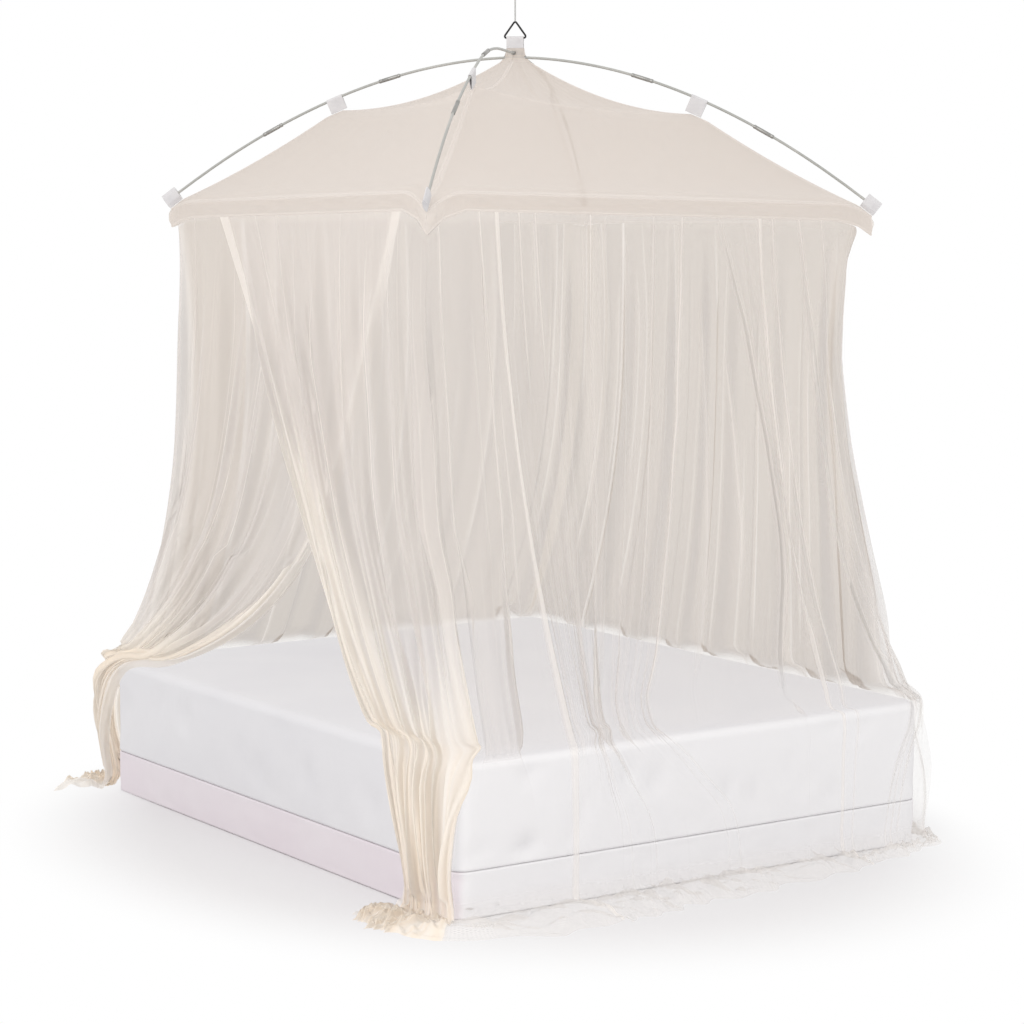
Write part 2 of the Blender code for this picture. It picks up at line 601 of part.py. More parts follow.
def bisectors(points, axis):
    """The direction halfway between the steps before and after each point, and how blunt the turn is."""
    steps = unit(np.diff(points, axis=axis))
    before = np.insert(steps, 0, np.take(steps, 0, axis), axis)
    after = np.insert(steps, steps.shape[axis], np.take(steps, -1, axis), axis)
    total = before + after
    return unit(total), np.linalg.norm(total, axis=-1, keepdims=True) / 2


def half_thickness(middle, normals):
    """From the middle of folded cloth to its outer face: square to the cloth and longer at creases.
    The end columns keep the wall's normal, so that two widths meet squarely at their seam."""
    down, _ = bisectors(middle, 0)
    along, bluntness = bisectors(middle, 1)
    half = unit(np.cross(down, along)) / np.clip(bluntness, MITRE_LIMIT, 1.0)
    for end in (0, -1):
        lengthwise = np.sum(normals[:, end] * down[:, end], axis=1, keepdims=True)
        half[:, end] = unit(normals[:, end] - down[:, end] * lengthwise)
    half[0, :, 2] = 0.0  # the top edge is level
    return half * NET_THICKNESS / 2


def curtain(width):
    """One curtain width, from the valance over the bed's edge to its hem on the floor."""
    middle, normals = curtain_middle(width)
    half = half_thickness(middle, normals)
    for row in (-3, -1):  # what rests on the floor has its lower face on it
        middle[row, :, 2] = np.maximum(middle[row, :, 2], np.abs(half[row, :, 2]))
    return grid_solid(width["name"], middle + half, middle - half, "net")


def ferrule_shares(place):
    """Signed shares of the half diagonal at a ferrule's two ends."""
    reach = FERRULE_LENGTH / 2 / HALF_DIAGONAL
    return place - reach, place + reach


def rod_spot(corner, share):
    """A point of the rod that ends at this corner, at a signed share of the half diagonal."""
    end = corner if share > 0 else corner + 2
    return plan_point(end, abs(share), rod_height(end, share))


def rod_path(corner):
    """Points of a rod from the far corner to this one, straight in its ferrules and pockets."""
    ferrule_ends = [share for place in FERRULE_PLACES for share in ferrule_shares(place)]
    tab_ends = [side * TAB_PLACE + step * TAB_HALF_SHARE for side in (-1, 1) for step in (-1.15, 1.15)]
    between = [side * place for side in (-1, 1) for place in ROD_BETWEEN]
    points = [rod_spot(corner, share) for share in sorted(ferrule_ends + tab_ends + between)]
    for end in (corner + 2, corner):
        along, _, _ = rod_slope(end, 1.0)
        socket = plan_point(end, 1.0, rod_height(end, 1.0))
        stretch = [socket + along * travel for travel in (-POCKET_LENGTH / 2 - SOCKET_MARGIN, ROD_TIP)]
        points = points + stretch if end == corner else stretch[::-1] + points
    return points


def tube_curve(name, points, radius, finish_name, resolution=2, cyclic=False):
    """A round bar along a list of points."""
    curve = bpy.data.curves.new(name, "CURVE")
    curve.dimensions = "3D"
    curve.bevel_depth = radius
    curve.bevel_resolution = resolution
    curve.use_fill_caps = not cyclic
    spline = curve.splines.new("POLY")
    spline.points.add(len(points) - 1)
    spline.use_cyclic_u = cyclic
    spline.use_smooth = True
    for target, point in zip(spline.points, points):
        target.co = (*point, 1.0)
    return add_object(name, curve, finish_name)


def frame_matrix(origin, x_axis, y_axis, z_axis):
    """World matrix of a local frame given by its axes."""
    matrix = Matrix.Identity(4)
    for column, axis in enumerate((x_axis, y_axis, z_axis, origin)):
        for line in range(3):
            matrix[line][column] = float(axis[line])
    return matrix


def ferrule(name, start, end):
    """A metal sleeve round a rod between two of its points."""
    start, end = Vector(start), Vector(end)
    axis = (end - start).normalized()
    side = axis.orthogonal().normalized()
    bm = bmesh.new()
    rings = []
    low, high = start + axis * FERRULE_TRIM, end - axis * FERRULE_TRIM
    for centre, radius in ((low, SLEEVE_INNER), (low, FERRULE_RADIUS), (high, FERRULE_RADIUS),
                           (high, SLEEVE_INNER)):
        ring = []
        for k in range(ROD_SIDES):
            turned = Matrix.Rotation(2 * math.pi * k / ROD_SIDES, 3, axis) @ side
            ring.append(bm.verts.new(centre + turned * radius))
        rings.append(ring)
    for inner, outer in zip(rings, rings[1:] + rings[:1]):
        for k in range(ROD_SIDES):
            following = (k + 1) % ROD_SIDES
            bm.faces.new((inner[k], outer[k], outer[following], inner[following]))
    bmesh.ops.recalc_face_normals(bm, faces=bm.faces)
    return add_bmesh(name, bm, "ferrule", 40)


def strap_over(name, origin, along, down, bar_radius, width, drop, ply_half_gap):
    """Webbing folded over a bar: a U of two plies that hang from it along down."""
    across = np.cross(along, down)
    steps = 6
    inner_radius = (bar_radius + GAP) / math.cos(math.pi / 2 / steps)

    def ply_line(radius, half_gap):
        arc = [math.pi * k / steps for k in range(steps + 1)]
        turn = [(-radius * math.cos(angle), -radius * math.sin(angle)) for angle in arc]
        return [(-half_gap, drop), *turn, (half_gap, drop)]

    inside = ply_line(inner_radius, ply_half_gap)
    outside = ply_line(inner_radius + WEBBING_THICKNESS, ply_half_gap + WEBBING_THICKNESS)
    outline = inside + outside[::-1]
    bm = bmesh.new()
    layers = []
    for end in (-0.5, 0.5):
        base = np.array(origin) + np.array(along) * width * end
        layers.append([bm.verts.new(base + across * s + np.array(down) * d) for s, d in outline])
    count = len(outline)
    for k in range(count):
        following = (k + 1) % count
        bm.faces.new((layers[0][k], layers[0][following], layers[1][following], layers[1][k]))
    half = count // 2
    for layer in layers:
        for k in range(half - 1):
            bm.faces.new((layer[k], layer[k + 1], layer[count - 2 - k], layer[count - 1 - k]))
    bmesh.ops.recalc_face_normals(bm, faces=bm.faces)
    return add_bmesh(name, bm, "webbing", 50)


def mid_tab(corner):
    """The tab that ties a hip seam up to its rod."""
    along, down, _ = rod_slope(corner, TAB_PLACE)
    origin = plan_point(corner, TAB_PLACE, rod_height(corner, TAB_PLACE))
    drop = TAB_DROP[CORNERS[corner]] * abs(down[2])
    return strap_over(f"tab_{CORNERS[corner]}", origin, along, down, ROD_RADIUS, WEBBING_WIDTH, drop,
                      TAB_PLY_HALF_GAP)


def corner_pocket(corner):
    """The sewn webbing pocket that takes a rod's end."""
    along, down, across = rod_slope(corner, 1.0)
    origin = plan_point(corner, 1.0, rod_height(corner, 1.0))
    half_height, half_thick = POCKET_HEIGHT / 2, POCKET_THICKNESS / 2
    edge, flat = WEBBING_THICKNESS / 2, POCKET_FLAT_SHARE * half_height
    side = [(edge, -half_height), (half_thick, -flat), (half_thick, flat), (edge, half_height)]
    outline = side + [(-s, -d) for s, d in side]
    bm = bmesh.new()
    base = [bm.verts.new((s, d, -POCKET_LENGTH / 2)) for s, d in outline]
    face = bm.faces.new(base)
    grown = bmesh.ops.extrude_face_region(bm, geom=[face])
    moved = [item for item in grown["geom"] if isinstance(item, bmesh.types.BMVert)]
    bmesh.ops.translate(bm, verts=moved, vec=(0, 0, POCKET_LENGTH))
    bmesh.ops.recalc_face_normals(bm, faces=bm.faces)
    pocket = add_bmesh(f"pocket_{CORNERS[corner]}", bm, "webbing")
    pocket.matrix_world = frame_matrix(origin, across, down, along)
    bore = bmesh.new()
    bmesh.ops.create_cone(bore, cap_ends=True, segments=ROD_SIDES, radius1=SLEEVE_INNER,
                          radius2=SLEEVE_INNER, depth=2 * POCKET_BORE_DEPTH)
    cutter = add_bmesh(f"bore_{CORNERS[corner]}", bore, "webbing")
    cutter.matrix_world = frame_matrix(origin - along * POCKET_LENGTH / 2, across, down, along)
    cut(pocket, cutter)
    return pocket


def cut(target, cutter):
    """Takes a hidden cutter out of a piece."""
    cutter.hide_render = True
    cutter.display_type = "WIRE"
    modifier = target.modifiers.new("cut", "BOOLEAN")
    modifier.operation = "DIFFERENCE"
    modifier.solver = "EXACT"
    modifier.object = cutter


def low_rod_axis():
    """Unit vector along the low rod in plan, from head_left to foot_right."""
    return np.append(corner_vector(1) / HALF_DIAGONAL, 0.0)


def peak_collar():
    """The tapered collar of net at the roof's peak, with a hole for each rod on its four sides."""
    along = low_rod_axis()
    across = np.append(corner_vector(2) / HALF_DIAGONAL, 0.0)
    centre = np.array([*CANOPY_CENTRE, 0.0])
    bottom_half = (PEAK_SHARE * HALF_DIAGONAL,) * 2
    bottom_height = PEAK_HEIGHT + COLLAR_STAND
    directions = [(math.cos(math.pi * k / 4), math.sin(math.pi * k / 4)) for k in range(8)]
    bm = bmesh.new()
    walls = []
    for inset in (0.0, COLLAR_THICKNESS):
        rings = []
        for height, half, corner_pull, steep in ((bottom_height, bottom_half, 0.72, 1.4),
                                                 (COLLAR_TOP, COLLAR_TOP_HALF, 1.15, 1.0)):
            ring = []
            for k, (u, v) in enumerate(directions):
                pull = corner_pull if k % 2 else 1.0
                point = centre + pull * (along * (half[0] - inset * steep) * u
                                         + across * (half[1] - inset * steep) * v)
                ring.append(bm.verts.new((point[0], point[1], height)))
            rings.append(ring)
        walls.append(rings)
    (outer_low, outer_high), (inner_low, inner_high) = walls
    for k in range(8):
        n = (k + 1) % 8
        for low, high, order in ((outer_low, outer_high, 1), (inner_low, inner_high, -1)):
            bm.faces.new((low[k], low[n], high[n])[::order])
            bm.faces.new((low[k], high[n], high[k])[::order])
        bm.faces.new((outer_high[k], outer_high[n], inner_high[n], inner_high[k]))
        bm.faces.new((inner_low[k], inner_low[n], outer_low[n], outer_low[k]))
    collar = add_bmesh("peak_collar", bm, "net", 40)
    radius = FERRULE_RADIUS + COLLAR_HOLE_CLEARANCE
    for name, height, axis in (("low", LOW_ROD_PEAK, along), ("high", HIGH_ROD_PEAK, across)):
        hole = bmesh.new()
        bmesh.ops.create_cone(hole, cap_ends=True, segments=8, radius1=radius, radius2=radius, depth=0.14)
        cutter = add_bmesh(f"hole_{name}", hole, "net")
        up = np.array([0.0, 0.0, 1.0])
        cutter.matrix_world = frame_matrix(centre + up * height, np.cross(up, axis), up, axis)
        cut(collar, cutter)
    return collar


def arc_points(centre, radius, start, end, count, across, up):
    """Points on an arc in the plane of two vectors, angles in degrees from across towards up."""
    points = []
    for k in range(count):
        angle = math.radians(start + (end - start) * k / (count - 1))
        points.append(centre + across * radius * math.cos(angle) + up * radius * math.sin(angle))
    return points


def peak_ring():
    """The triangular wire ring between the webbing loop and the cord."""
    across, up = low_rod_axis(), np.array([0.0, 0.0, 1.0])
    centre = np.array([*CANOPY_CENTRE, 0.0])
    bend = 0.005
    apex = centre + up * (RING_TOP_HEIGHT - bend)
    right = centre + across * (RING_HALF_WIDTH - bend) + up * (RING_BAR_HEIGHT + bend)
    left = centre - across * (RING_HALF_WIDTH - bend) + up * (RING_BAR_HEIGHT + bend)
    slope = math.degrees(math.atan2(RING_TOP_HEIGHT - RING_BAR_HEIGHT - 2 * bend, RING_HALF_WIDTH - bend))
    side = 90 - slope
    points = arc_points(right, bend, -90, side, 5, across, up)
    points += arc_points(apex, bend, side, 180 - side, 5, across, up)
    points += arc_points(left, bend, 180 - side, 270, 5, across, up)
    return tube_curve("peak_ring", points, RING_WIRE_RADIUS, "ring", resolution=2, cyclic=True)


def cord_points():
    """The taut cord's route, from the ring up to the hook."""
    start = RING_TOP_HEIGHT + RING_WIRE_RADIUS + GAP
    heights = np.linspace(start, CORD_TOP, 7)
    return [np.array([*CANOPY_CENTRE, height]) for height in heights]


def ceiling_hook():
    """The eye that the cord is tied to, and the plate over it."""
    across, up = low_rod_axis(), np.array([0.0, 0.0, 1.0])
    centre = np.array([*CANOPY_CENTRE, CORD_TOP + GAP + HOOK_WIRE_RADIUS + HOOK_EYE_RADIUS])
    eye = arc_points(centre, HOOK_EYE_RADIUS, 130, 400, 11, across, up)
    shank_foot = centre + up * (HOOK_EYE_RADIUS + 0.004)
    shank_top = np.array([*CANOPY_CENTRE, CEILING_HEIGHT - PLATE_THICKNESS - GAP])
    eye += [centre + across * 0.0045 + up * (HOOK_EYE_RADIUS + 0.0012), shank_foot, shank_top]
    tube_curve("ceiling_hook", eye, HOOK_WIRE_RADIUS, "hook", resolution=2)
    bm = bmesh.new()
    bmesh.ops.create_cone(bm, cap_ends=True, segments=20, radius1=PLATE_RADIUS * 0.8, radius2=PLATE_RADIUS,
                          depth=PLATE_THICKNESS)
    plate = add_bmesh("ceiling_plate", bm, "hook", 40)
    plate.location = (*CANOPY_CENTRE, CEILING_HEIGHT - PLATE_THICKNESS / 2)


def rounded_block(name, height_low, height_high, edge_radius, finish_name):
    """A bed part: a block with round corners in plan and softer top and bottom edges."""
    bm = bmesh.new()
    size = Matrix.Diagonal((BED_WIDTH, BED_LENGTH, height_high - height_low, 1.0))
    shift = Matrix.Translation((0, 0, (height_high + height_low) / 2))
    bmesh.ops.create_cube(bm, size=1.0, matrix=shift @ size)
    upright = [edge for edge in bm.edges if abs(edge.verts[0].co.z - edge.verts[1].co.z) > 0.01]
    bmesh.ops.bevel(bm, geom=upright, offset=BED_CORNER_RADIUS, segments=4, profile=0.5,
                    affect="EDGES", material=-1)
    on_floor = height_low == 0.0  # the underside that the bed stands on keeps its outline
    rims = [edge for face in bm.faces if face.normal.z > 0.9 or (face.normal.z < -0.9 and not on_floor)
            for edge in face.edges]
    bmesh.ops.bevel(bm, geom=rims, offset=edge_radius, segments=3, profile=0.5,
                    affect="EDGES", material=-1)
    return add_bmesh(name, bm, finish_name, 40)


def main():
    """Builds every piece."""
    clear_scene()
    rounded_block("bed_base", 0.0, BASE_HEIGHT, 0.006, "base")
    rounded_block("mattress", BASE_HEIGHT + GAP, BED_TOP, MATTRESS_EDGE_RADIUS, "mattress")
    for wall in range(4):
        roof_gore(wall)
        valance_strip(wall)
    for row in CURTAINS:
        curtain(row)
    for corner, rod in ((1, "low"), (2, "high")):
        tube_curve(f"rod_{rod}", rod_path(corner), ROD_RADIUS, "rod")
        for number, place in enumerate(FERRULE_PLACES, 1):
            start, end = (rod_spot(corner, share) for share in ferrule_shares(place))
            ferrule(f"ferrule_{rod}_{number}", start, end)
    for corner in range(4):
        mid_tab(corner)
        corner_pocket(corner)
    peak_collar()
    centre = np.array([*CANOPY_CENTRE, RING_BAR_HEIGHT])
    loop_drop = RING_BAR_HEIGHT - COLLAR_TOP - GAP
    strap_over("peak_loop", centre, low_rod_axis(), np.array([0.0, 0.0, -1.0]), RING_WIRE_RADIUS,
               WEBBING_WIDTH, loop_drop, LOOP_PLY_HALF_GAP)
    peak_ring()
    tube_curve("hanging_cord", cord_points(), CORD_RADIUS, "cord")
    ceiling_hook()


if __name__ == "__main__":
    main()
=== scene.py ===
"""Square net canopy hung on two crossed rods over a plain double bed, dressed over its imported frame.

Metres, +Z up. +X runs along the foot end towards the closed side, +Y from the foot to the head. Places on
the walls are wall coordinates: whole numbers are corners, counted from the near foot corner round the foot,
the far side and the head, and the fraction is the share of the wall walked.
"""

import logging
import math
from dataclasses import dataclass
from enum import Enum

import bmesh
import bpy
import numpy as np
from mathutils import Matrix, Vector


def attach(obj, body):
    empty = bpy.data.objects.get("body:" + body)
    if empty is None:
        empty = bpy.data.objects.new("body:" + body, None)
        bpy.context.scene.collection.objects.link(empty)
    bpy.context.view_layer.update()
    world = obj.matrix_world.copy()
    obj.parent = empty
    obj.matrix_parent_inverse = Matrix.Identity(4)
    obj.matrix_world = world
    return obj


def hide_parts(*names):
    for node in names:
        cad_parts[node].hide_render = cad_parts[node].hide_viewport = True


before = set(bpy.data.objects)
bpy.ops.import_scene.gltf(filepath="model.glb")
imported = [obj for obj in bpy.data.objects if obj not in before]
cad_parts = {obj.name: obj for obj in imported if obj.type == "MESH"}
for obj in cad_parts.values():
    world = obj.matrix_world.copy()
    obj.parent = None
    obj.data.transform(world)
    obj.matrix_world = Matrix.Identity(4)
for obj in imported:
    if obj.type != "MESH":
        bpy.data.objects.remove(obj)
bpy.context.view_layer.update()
LOG = logging.getLogger("net_canopy")

Colour = tuple[float, float, float]
CORNER_NAMES = ("foot_left", "foot_right", "head_right", "head_left")
WALL_NAMES = ("foot", "right", "head", "left")
CORNER_SIGNS = ((-1, -1), (1, -1), (1, 1), (-1, 1))


class Slot(Enum):
    """Material slots of the part."""

    NET = "net"
    WEBBING = "webbing"
    ROD = "rod"
    FERRULE = "ferrule"
    RING = "ring"
    CORD = "cord"
    HOOK = "hook"
    MATTRESS = "mattress"
    BASE = "base"


class Held(Enum):
    """How a sheet of cloth is held."""

    HUNG = "hung"
    GATHERED = "gathered"


def smooth_step(low: float, high: float, value: np.ndarray) -> np.ndarray:
    """Rises smoothly from 0 at low to 1 at high."""
    part = np.clip((value - low) / (high - low), 0.0, 1.0)
    return part * part * (3 - 2 * part)


def ripples(x: np.ndarray, y: np.ndarray, seed: int, waves: int = 6) -> np.ndarray:
    """A smooth uneven field between about -1 and 1.

    Args:
        x: Coordinates across, in ripples.
        y: Coordinates down, in ripples.
        seed: Chooses the field.
        waves: How many plane waves are added.

    Returns:
        The field's values.
    """
    chance = np.random.default_rng(seed)
    total = np.zeros(np.broadcast(x, y).shape)
    for _ in range(waves):
        heading, phase = chance.uniform(0, math.pi), chance.uniform(0, 2 * math.pi)
        pitch = chance.uniform(0.6, 1.6)
        total = total + np.sin(2 * math.pi * pitch * (x * math.cos(heading) + y * math.sin(heading)) + phase)
    return total / math.sqrt(waves)


def unit(vectors: np.ndarray) -> np.ndarray:
    """Vectors scaled to length 1 along the last axis."""
    return vectors / np.maximum(np.linalg.norm(vectors, axis=-1, keepdims=True), 1e-9)


def blurred(values: np.ndarray, reach: int) -> np.ndarray:
    """Evens out rows of vectors along the second axis, over this many columns to either side.

    Args:
        values: Vectors in rows and columns.
        reach: Columns to either side that each one is evened out with.

    Returns:
        The evened rows.
    """
    for _ in range(2):
        padded = np.pad(values, ((0, 0), (reach + 1, reach), (0, 0)), mode="edge")
        sums = np.cumsum(padded, axis=1)
        values = (sums[:, 2 * reach + 1:] - sums[:, :-2 * reach - 1]) / (2 * reach + 1)
    return values


class NodeBoard:
    """Adds and joins the nodes of one material or world."""

    def __init__(self, holder: bpy.types.ID) -> None:
        """Clears the holder's node tree and keeps it.

        Args:
            holder: The material or world whose tree is filled.
        """
        holder.use_nodes = True
        self.tree = holder.node_tree
        self.tree.nodes.clear()

    def node(self, kind: str, inputs: dict | None = None, **settings: object) -> bpy.types.Node:
        """Adds a node.

        Args:
            kind: The node's type without its ShaderNode prefix.
            inputs: Values or output sockets by input name or number.
            settings: Properties of the node.

        Returns:
            The node.
        """
        made = self.tree.nodes.new("ShaderNode" + kind)
        for key, value in settings.items():
            setattr(made, key, value)
        for key, value in (inputs or {}).items():
            if isinstance(value, bpy.types.NodeSocket):
                self.tree.links.new(value, made.inputs[key])
            else:
                made.inputs[key].default_value = value
        return made

    def math(self, operation: str, *values: object, clamp: bool = False) -> bpy.types.NodeSocket:
        """Adds a sum of sockets and numbers and returns its value."""
        made = self.node("Math", dict(enumerate(values)), operation=operation, use_clamp=clamp)
        return made.outputs[0]

    def ramp(self, value: bpy.types.NodeSocket, low: float, high: float) -> bpy.types.NodeSocket:
        """Maps a value smoothly from 0 at low to 1 at high.

        Args:
            value: The socket to map.
            low: The value that gives 0.
            high: The value that gives 1.

        Returns:
            The mapped value.
        """
        made = self.node("MapRange", {"Value": value, "From Min": low, "From Max": high},
                         interpolation_type="SMOOTHSTEP")
        return made.outputs[0]

    def mix(self, share: object, first: object, second: object) -> bpy.types.NodeSocket:
        """Mixes two colours, given as sockets or RGB values, and returns the result.

        Args:
            share: The second colour's share.
            first: The colour at a share of 0.
            second: The colour at a share of 1.

        Returns:
            The mixed colour.
        """
        made = self.node("Mix", {"Factor": share}, data_type="RGBA")
        for number, value in ((6, first), (7, second)):
            if isinstance(value, bpy.types.NodeSocket):
                self.tree.links.new(value, made.inputs[number])
            else:
                made.inputs[number].default_value = (*value, 1.0)
        return made.outputs[2]

    def place(self, source: str, scale: tuple[float, float, float]) -> bpy.types.NodeSocket:
        """The object's coordinates ("Object") or its UV map ("UV"), scaled."""
        origin = self.node("TexCoord").outputs[source]
        return self.node("Mapping", {"Vector": origin, "Scale": scale}).outputs[0]

    def noise(self, vector: bpy.types.NodeSocket, scale: float, detail: float = 2.0) -> bpy.types.NodeSocket:
        """A noise value between 0 and 1."""
        return self.node("TexNoise", {"Vector": vector, "Scale": scale, "Detail": detail}).outputs[0]

    def bump(self, height: bpy.types.NodeSocket, strength: float, distance: float,
             normal: bpy.types.NodeSocket | None = None) -> bpy.types.NodeSocket:
        """A normal bumped by a height, from the surface's own or the given one."""
        inputs = {"Height": height, "Strength": strength, "Distance": distance}
        return self.node("Bump", inputs | ({"Normal": normal} if normal else {})).outputs[0]

    def finish(self, inputs: dict) -> None:
        """Adds the principled shader and the output."""
        shader = self.node("BsdfPrincipled", inputs)
        self.node("OutputMaterial", {"Surface": shader.outputs[0]})


@dataclass(frozen=True)
class NetFinish:
    """Fine knitted net: see-through where it hangs flat, creamy and close where it is gathered.

    The cover attribute is the share of the surface that the yarn hides, shaded is 1 on the walls that stand
    away from the light and darkens them with painted shade, fold is 1 deep in gathered cloth and darkens it
    with painted shade in its troughs, crease is 1 on fold lines and free edges, and soft is the cloth's
    direction without its fine pleats.
    """

    name: str = "fine_net"
    streaks: float = 0.13
    thin: Colour = (0.83, 0.78, 0.745)
    shaded: Colour = (0.375, 0.305, 0.245)
    gathered: Colour = (1.0, 0.95, 0.885)
    # Painted shade: the darker, yellower tone of deep pleat troughs, of the lower part of gathered cloth and
    # of cloth heaped on the floor.
    deep: Colour = (1.0, 0.89, 0.76)
    creased: Colour = (0.95, 0.915, 0.88)
    softness: float = 0.86
    passes: float = 0.64
    streak_pitch: float = 0.013
    thread_pitch: float = 0.0045
    mesh_pitch: float = 0.0022

    DIAGONAL_WAVE = 0.444

    def make(self) -> bpy.types.Material:
        """Builds the material from the cover and fold attributes and the cloth's own UV map in metres.

        Returns:
            The material.
        """
        made = bpy.data.materials.new(self.name)
        board = NodeBoard(made)
        cover, fold, shaded = (self.attribute(board, key) for key in ("cover", "fold", "shaded"))
        streaks = board.noise(board.place("UV", (1 / self.streak_pitch, 0.7, 1.0)), 1.0, 2.0)
        threads = board.noise(board.place("UV", (1 / self.thread_pitch, 0.5, 1.0)), 1.0, 1.0)
        patches = board.noise(board.place("UV", (5.0, 1.2, 1.0)), 1.0, 2.0)
        lines = board.math("MULTIPLY", board.ramp(streaks, 0.55, 0.80),
                           board.ramp(patches, 0.42, 0.66))
        fine = board.math("MULTIPLY", board.ramp(threads, 0.69, 0.79), 0.45)
        lines = board.math("MULTIPLY", board.math("MAXIMUM", lines, fine), min(1.0, 4 * self.streaks))
        rows = [self.mesh_rows(board, way) for way in (1, -1)]
        yarn = board.ramp(board.math("MAXIMUM", *rows), 0.45, 0.80)
        room = board.math("SUBTRACT", 1.0, cover)
        extra = board.math("ADD", board.math("MULTIPLY", lines, self.streaks),
                           board.math("MULTIPLY", board.math("SUBTRACT", yarn, 0.5), 0.16))
        alpha = board.math("ADD", cover, board.math("MULTIPLY", room, extra), clamp=True)
        close = board.ramp(cover, 0.54, 0.82)
        close = board.math("MAXIMUM", close, board.math("MULTIPLY", lines, 0.6))
        lit = board.math("SUBTRACT", 1.0, board.math("MULTIPLY", shaded, 0.55))
        close = board.math("MULTIPLY", close, lit)
        tone = board.mix(close, board.mix(shaded, self.thin, self.shaded), self.gathered)
        # Painted shade: where the fold attribute is high in dense cloth, the tone is pulled to the deep
        # colour.
        tone = board.mix(board.math("MULTIPLY", fold, board.ramp(cover, 0.6, 0.98)), tone, self.deep)
        creased = board.math("MULTIPLY", self.attribute(board, "crease"), 0.8)
        tone = board.mix(creased, tone, self.creased)
        normal = board.bump(yarn, 0.2, 0.0008, self.rounded(board))
        yarn_side = board.node("BsdfPrincipled", {"Base Color": tone, "Roughness": 0.85, "Normal": normal,
                                                  "Sheen Weight": 0.3, "Sheen Roughness": 0.5,
                                                  "Specular IOR Level": 0.15})
        lit_through = board.node("BsdfTranslucent", {"Color": tone})
        cloth = board.node("MixShader", {0: self.passes, 1: yarn_side.outputs[0], 2: lit_through.outputs[0]})
        holes = board.node("BsdfTransparent")
        both = board.node("MixShader", {0: alpha, 1: holes.outputs[0], 2: cloth.outputs[0]})
        board.node("OutputMaterial", {"Surface": both.outputs[0]})
        return made

    @staticmethod
    def attribute(board: NodeBoard, key: str) -> bpy.types.NodeSocket:
        """The value of one of the cloth's attributes."""
        return board.node("Attribute", attribute_name=key).outputs["Fac"]

    def mesh_rows(self, board: NodeBoard, way: int) -> bpy.types.NodeSocket:
        """One of the net's two sets of slanting yarns.

        Args:
            board: The material's nodes.
            way: 1 for the yarns that slant one way, -1 for the others.

        Returns:
            A wave that is 1 on the yarns.
        """
        place = board.place("UV", (1 / self.mesh_pitch, way / self.mesh_pitch, 1.0))
        wave = board.node("TexWave", {"Vector": place, "Scale": self.DIAGONAL_WAVE, "Distortion": 0.0},
                          bands_direction="DIAGONAL")
        return wave.outputs[1]

    def rounded(self, board: NodeBoard) -> bpy.types.NodeSocket:
        """The normal, turned towards the soft attribute so that fine pleats scatter light as net does.

        Args:
            board: The material's nodes.

        Returns:
            The normal for the yarn's shading.
        """
        flat = board.node("NewGeometry").outputs["Normal"]
        soft = board.node("Attribute", attribute_name="soft").outputs["Vector"]
        facing = board.node("VectorMath", {0: flat, 1: soft}, operation="DOT_PRODUCT").outputs["Value"]
        facing = board.math("MINIMUM", board.math("MULTIPLY", facing, 3.0), 1.0)
        share = board.math("MULTIPLY", board.math("MAXIMUM", facing, -1.0), self.softness)
        turned_soft = board.node("VectorMath", {0: soft, "Scale": share}, operation="SCALE").outputs[0]
        kept = board.node("VectorMath", {0: flat, "Scale": 1 - self.softness}, operation="SCALE").outputs[0]
        both = board.node("VectorMath", {0: kept, 1: turned_soft}, operation="ADD").outputs[0]
        return board.node("VectorMath", {0: both}, operation="NORMALIZE").outputs[0]


@dataclass(frozen=True)
class WebbingFinish:
    """White polyester webbing with a ribbed weave."""

    name: str = "white_webbing"
    tone: Colour = (0.61, 0.595, 0.60)
    shade: Colour = (0.55, 0.535, 0.545)
    rib_pitch: float = 0.0018

    def make(self) -> bpy.types.Material:
        """Builds the material with ribs along the strap and a slightly uneven white.

        Returns:
            The material.
        """
        made = bpy.data.materials.new(self.name)
        board = NodeBoard(made)
        where = board.place("Object", (1.0, 1.0, 1.0))
        ribs = board.node("TexWave", {"Vector": where, "Scale": 0.05 / self.rib_pitch * 2, "Distortion": 0.6,
                                      "Detail": 1.0}, bands_direction="DIAGONAL").outputs[1]
        grain = board.noise(board.place("Object", (1.0, 1.0, 1.0)), 900.0, 2.0)
        soil = board.noise(board.place("Object", (1.0, 1.0, 1.0)), 30.0, 3.0)
        tone = board.mix(board.ramp(soil, 0.35, 0.75), self.tone, self.shade)
        # Painted shade: a faint darkening in bands with the ribs stands in for the shade between them.
        tone = board.mix(board.math("MULTIPLY", ribs, 0.15), tone, self.shade)
        board.finish({"Base Color": tone, "Roughness": 0.78, "Sheen Weight": 0.1,
                      "Normal": board.bump(board.math("ADD", ribs, grain), 0.05, 0.0003)})
        return made


@dataclass(frozen=True)
class HardFinish:
    """A rod, sleeve or wire finish with fine drawn lines, dust and wear."""

    name: str
    tone: Colour
    worn: Colour
    roughness: float
    metallic: float
    grain: tuple[float, float, float] = (220.0, 220.0, 12.0)
    bump: float = 0.12

    def make(self) -> bpy.types.Material:
        """Builds the material with a fine grain and duller patches.

        Returns:
            The material.
        """
        made = bpy.data.materials.new(self.name)
        board = NodeBoard(made)
        grain = board.noise(board.place("Object", self.grain), 1.0, 3.0)
        patches = board.noise(board.place("Object", (1.0, 1.0, 1.0)), 14.0, 4.0)
        tone = board.mix(board.math("MULTIPLY", board.ramp(patches, 0.42, 0.7), 0.6), self.tone, self.worn)
        rough = board.math("ADD", board.math("MULTIPLY", grain, 0.22), self.roughness - 0.11, clamp=True)
        board.finish({"Base Color": tone, "Roughness": rough, "Metallic": self.metallic,
                      "Normal": board.bump(grain, self.bump, 0.0003)})
        return made


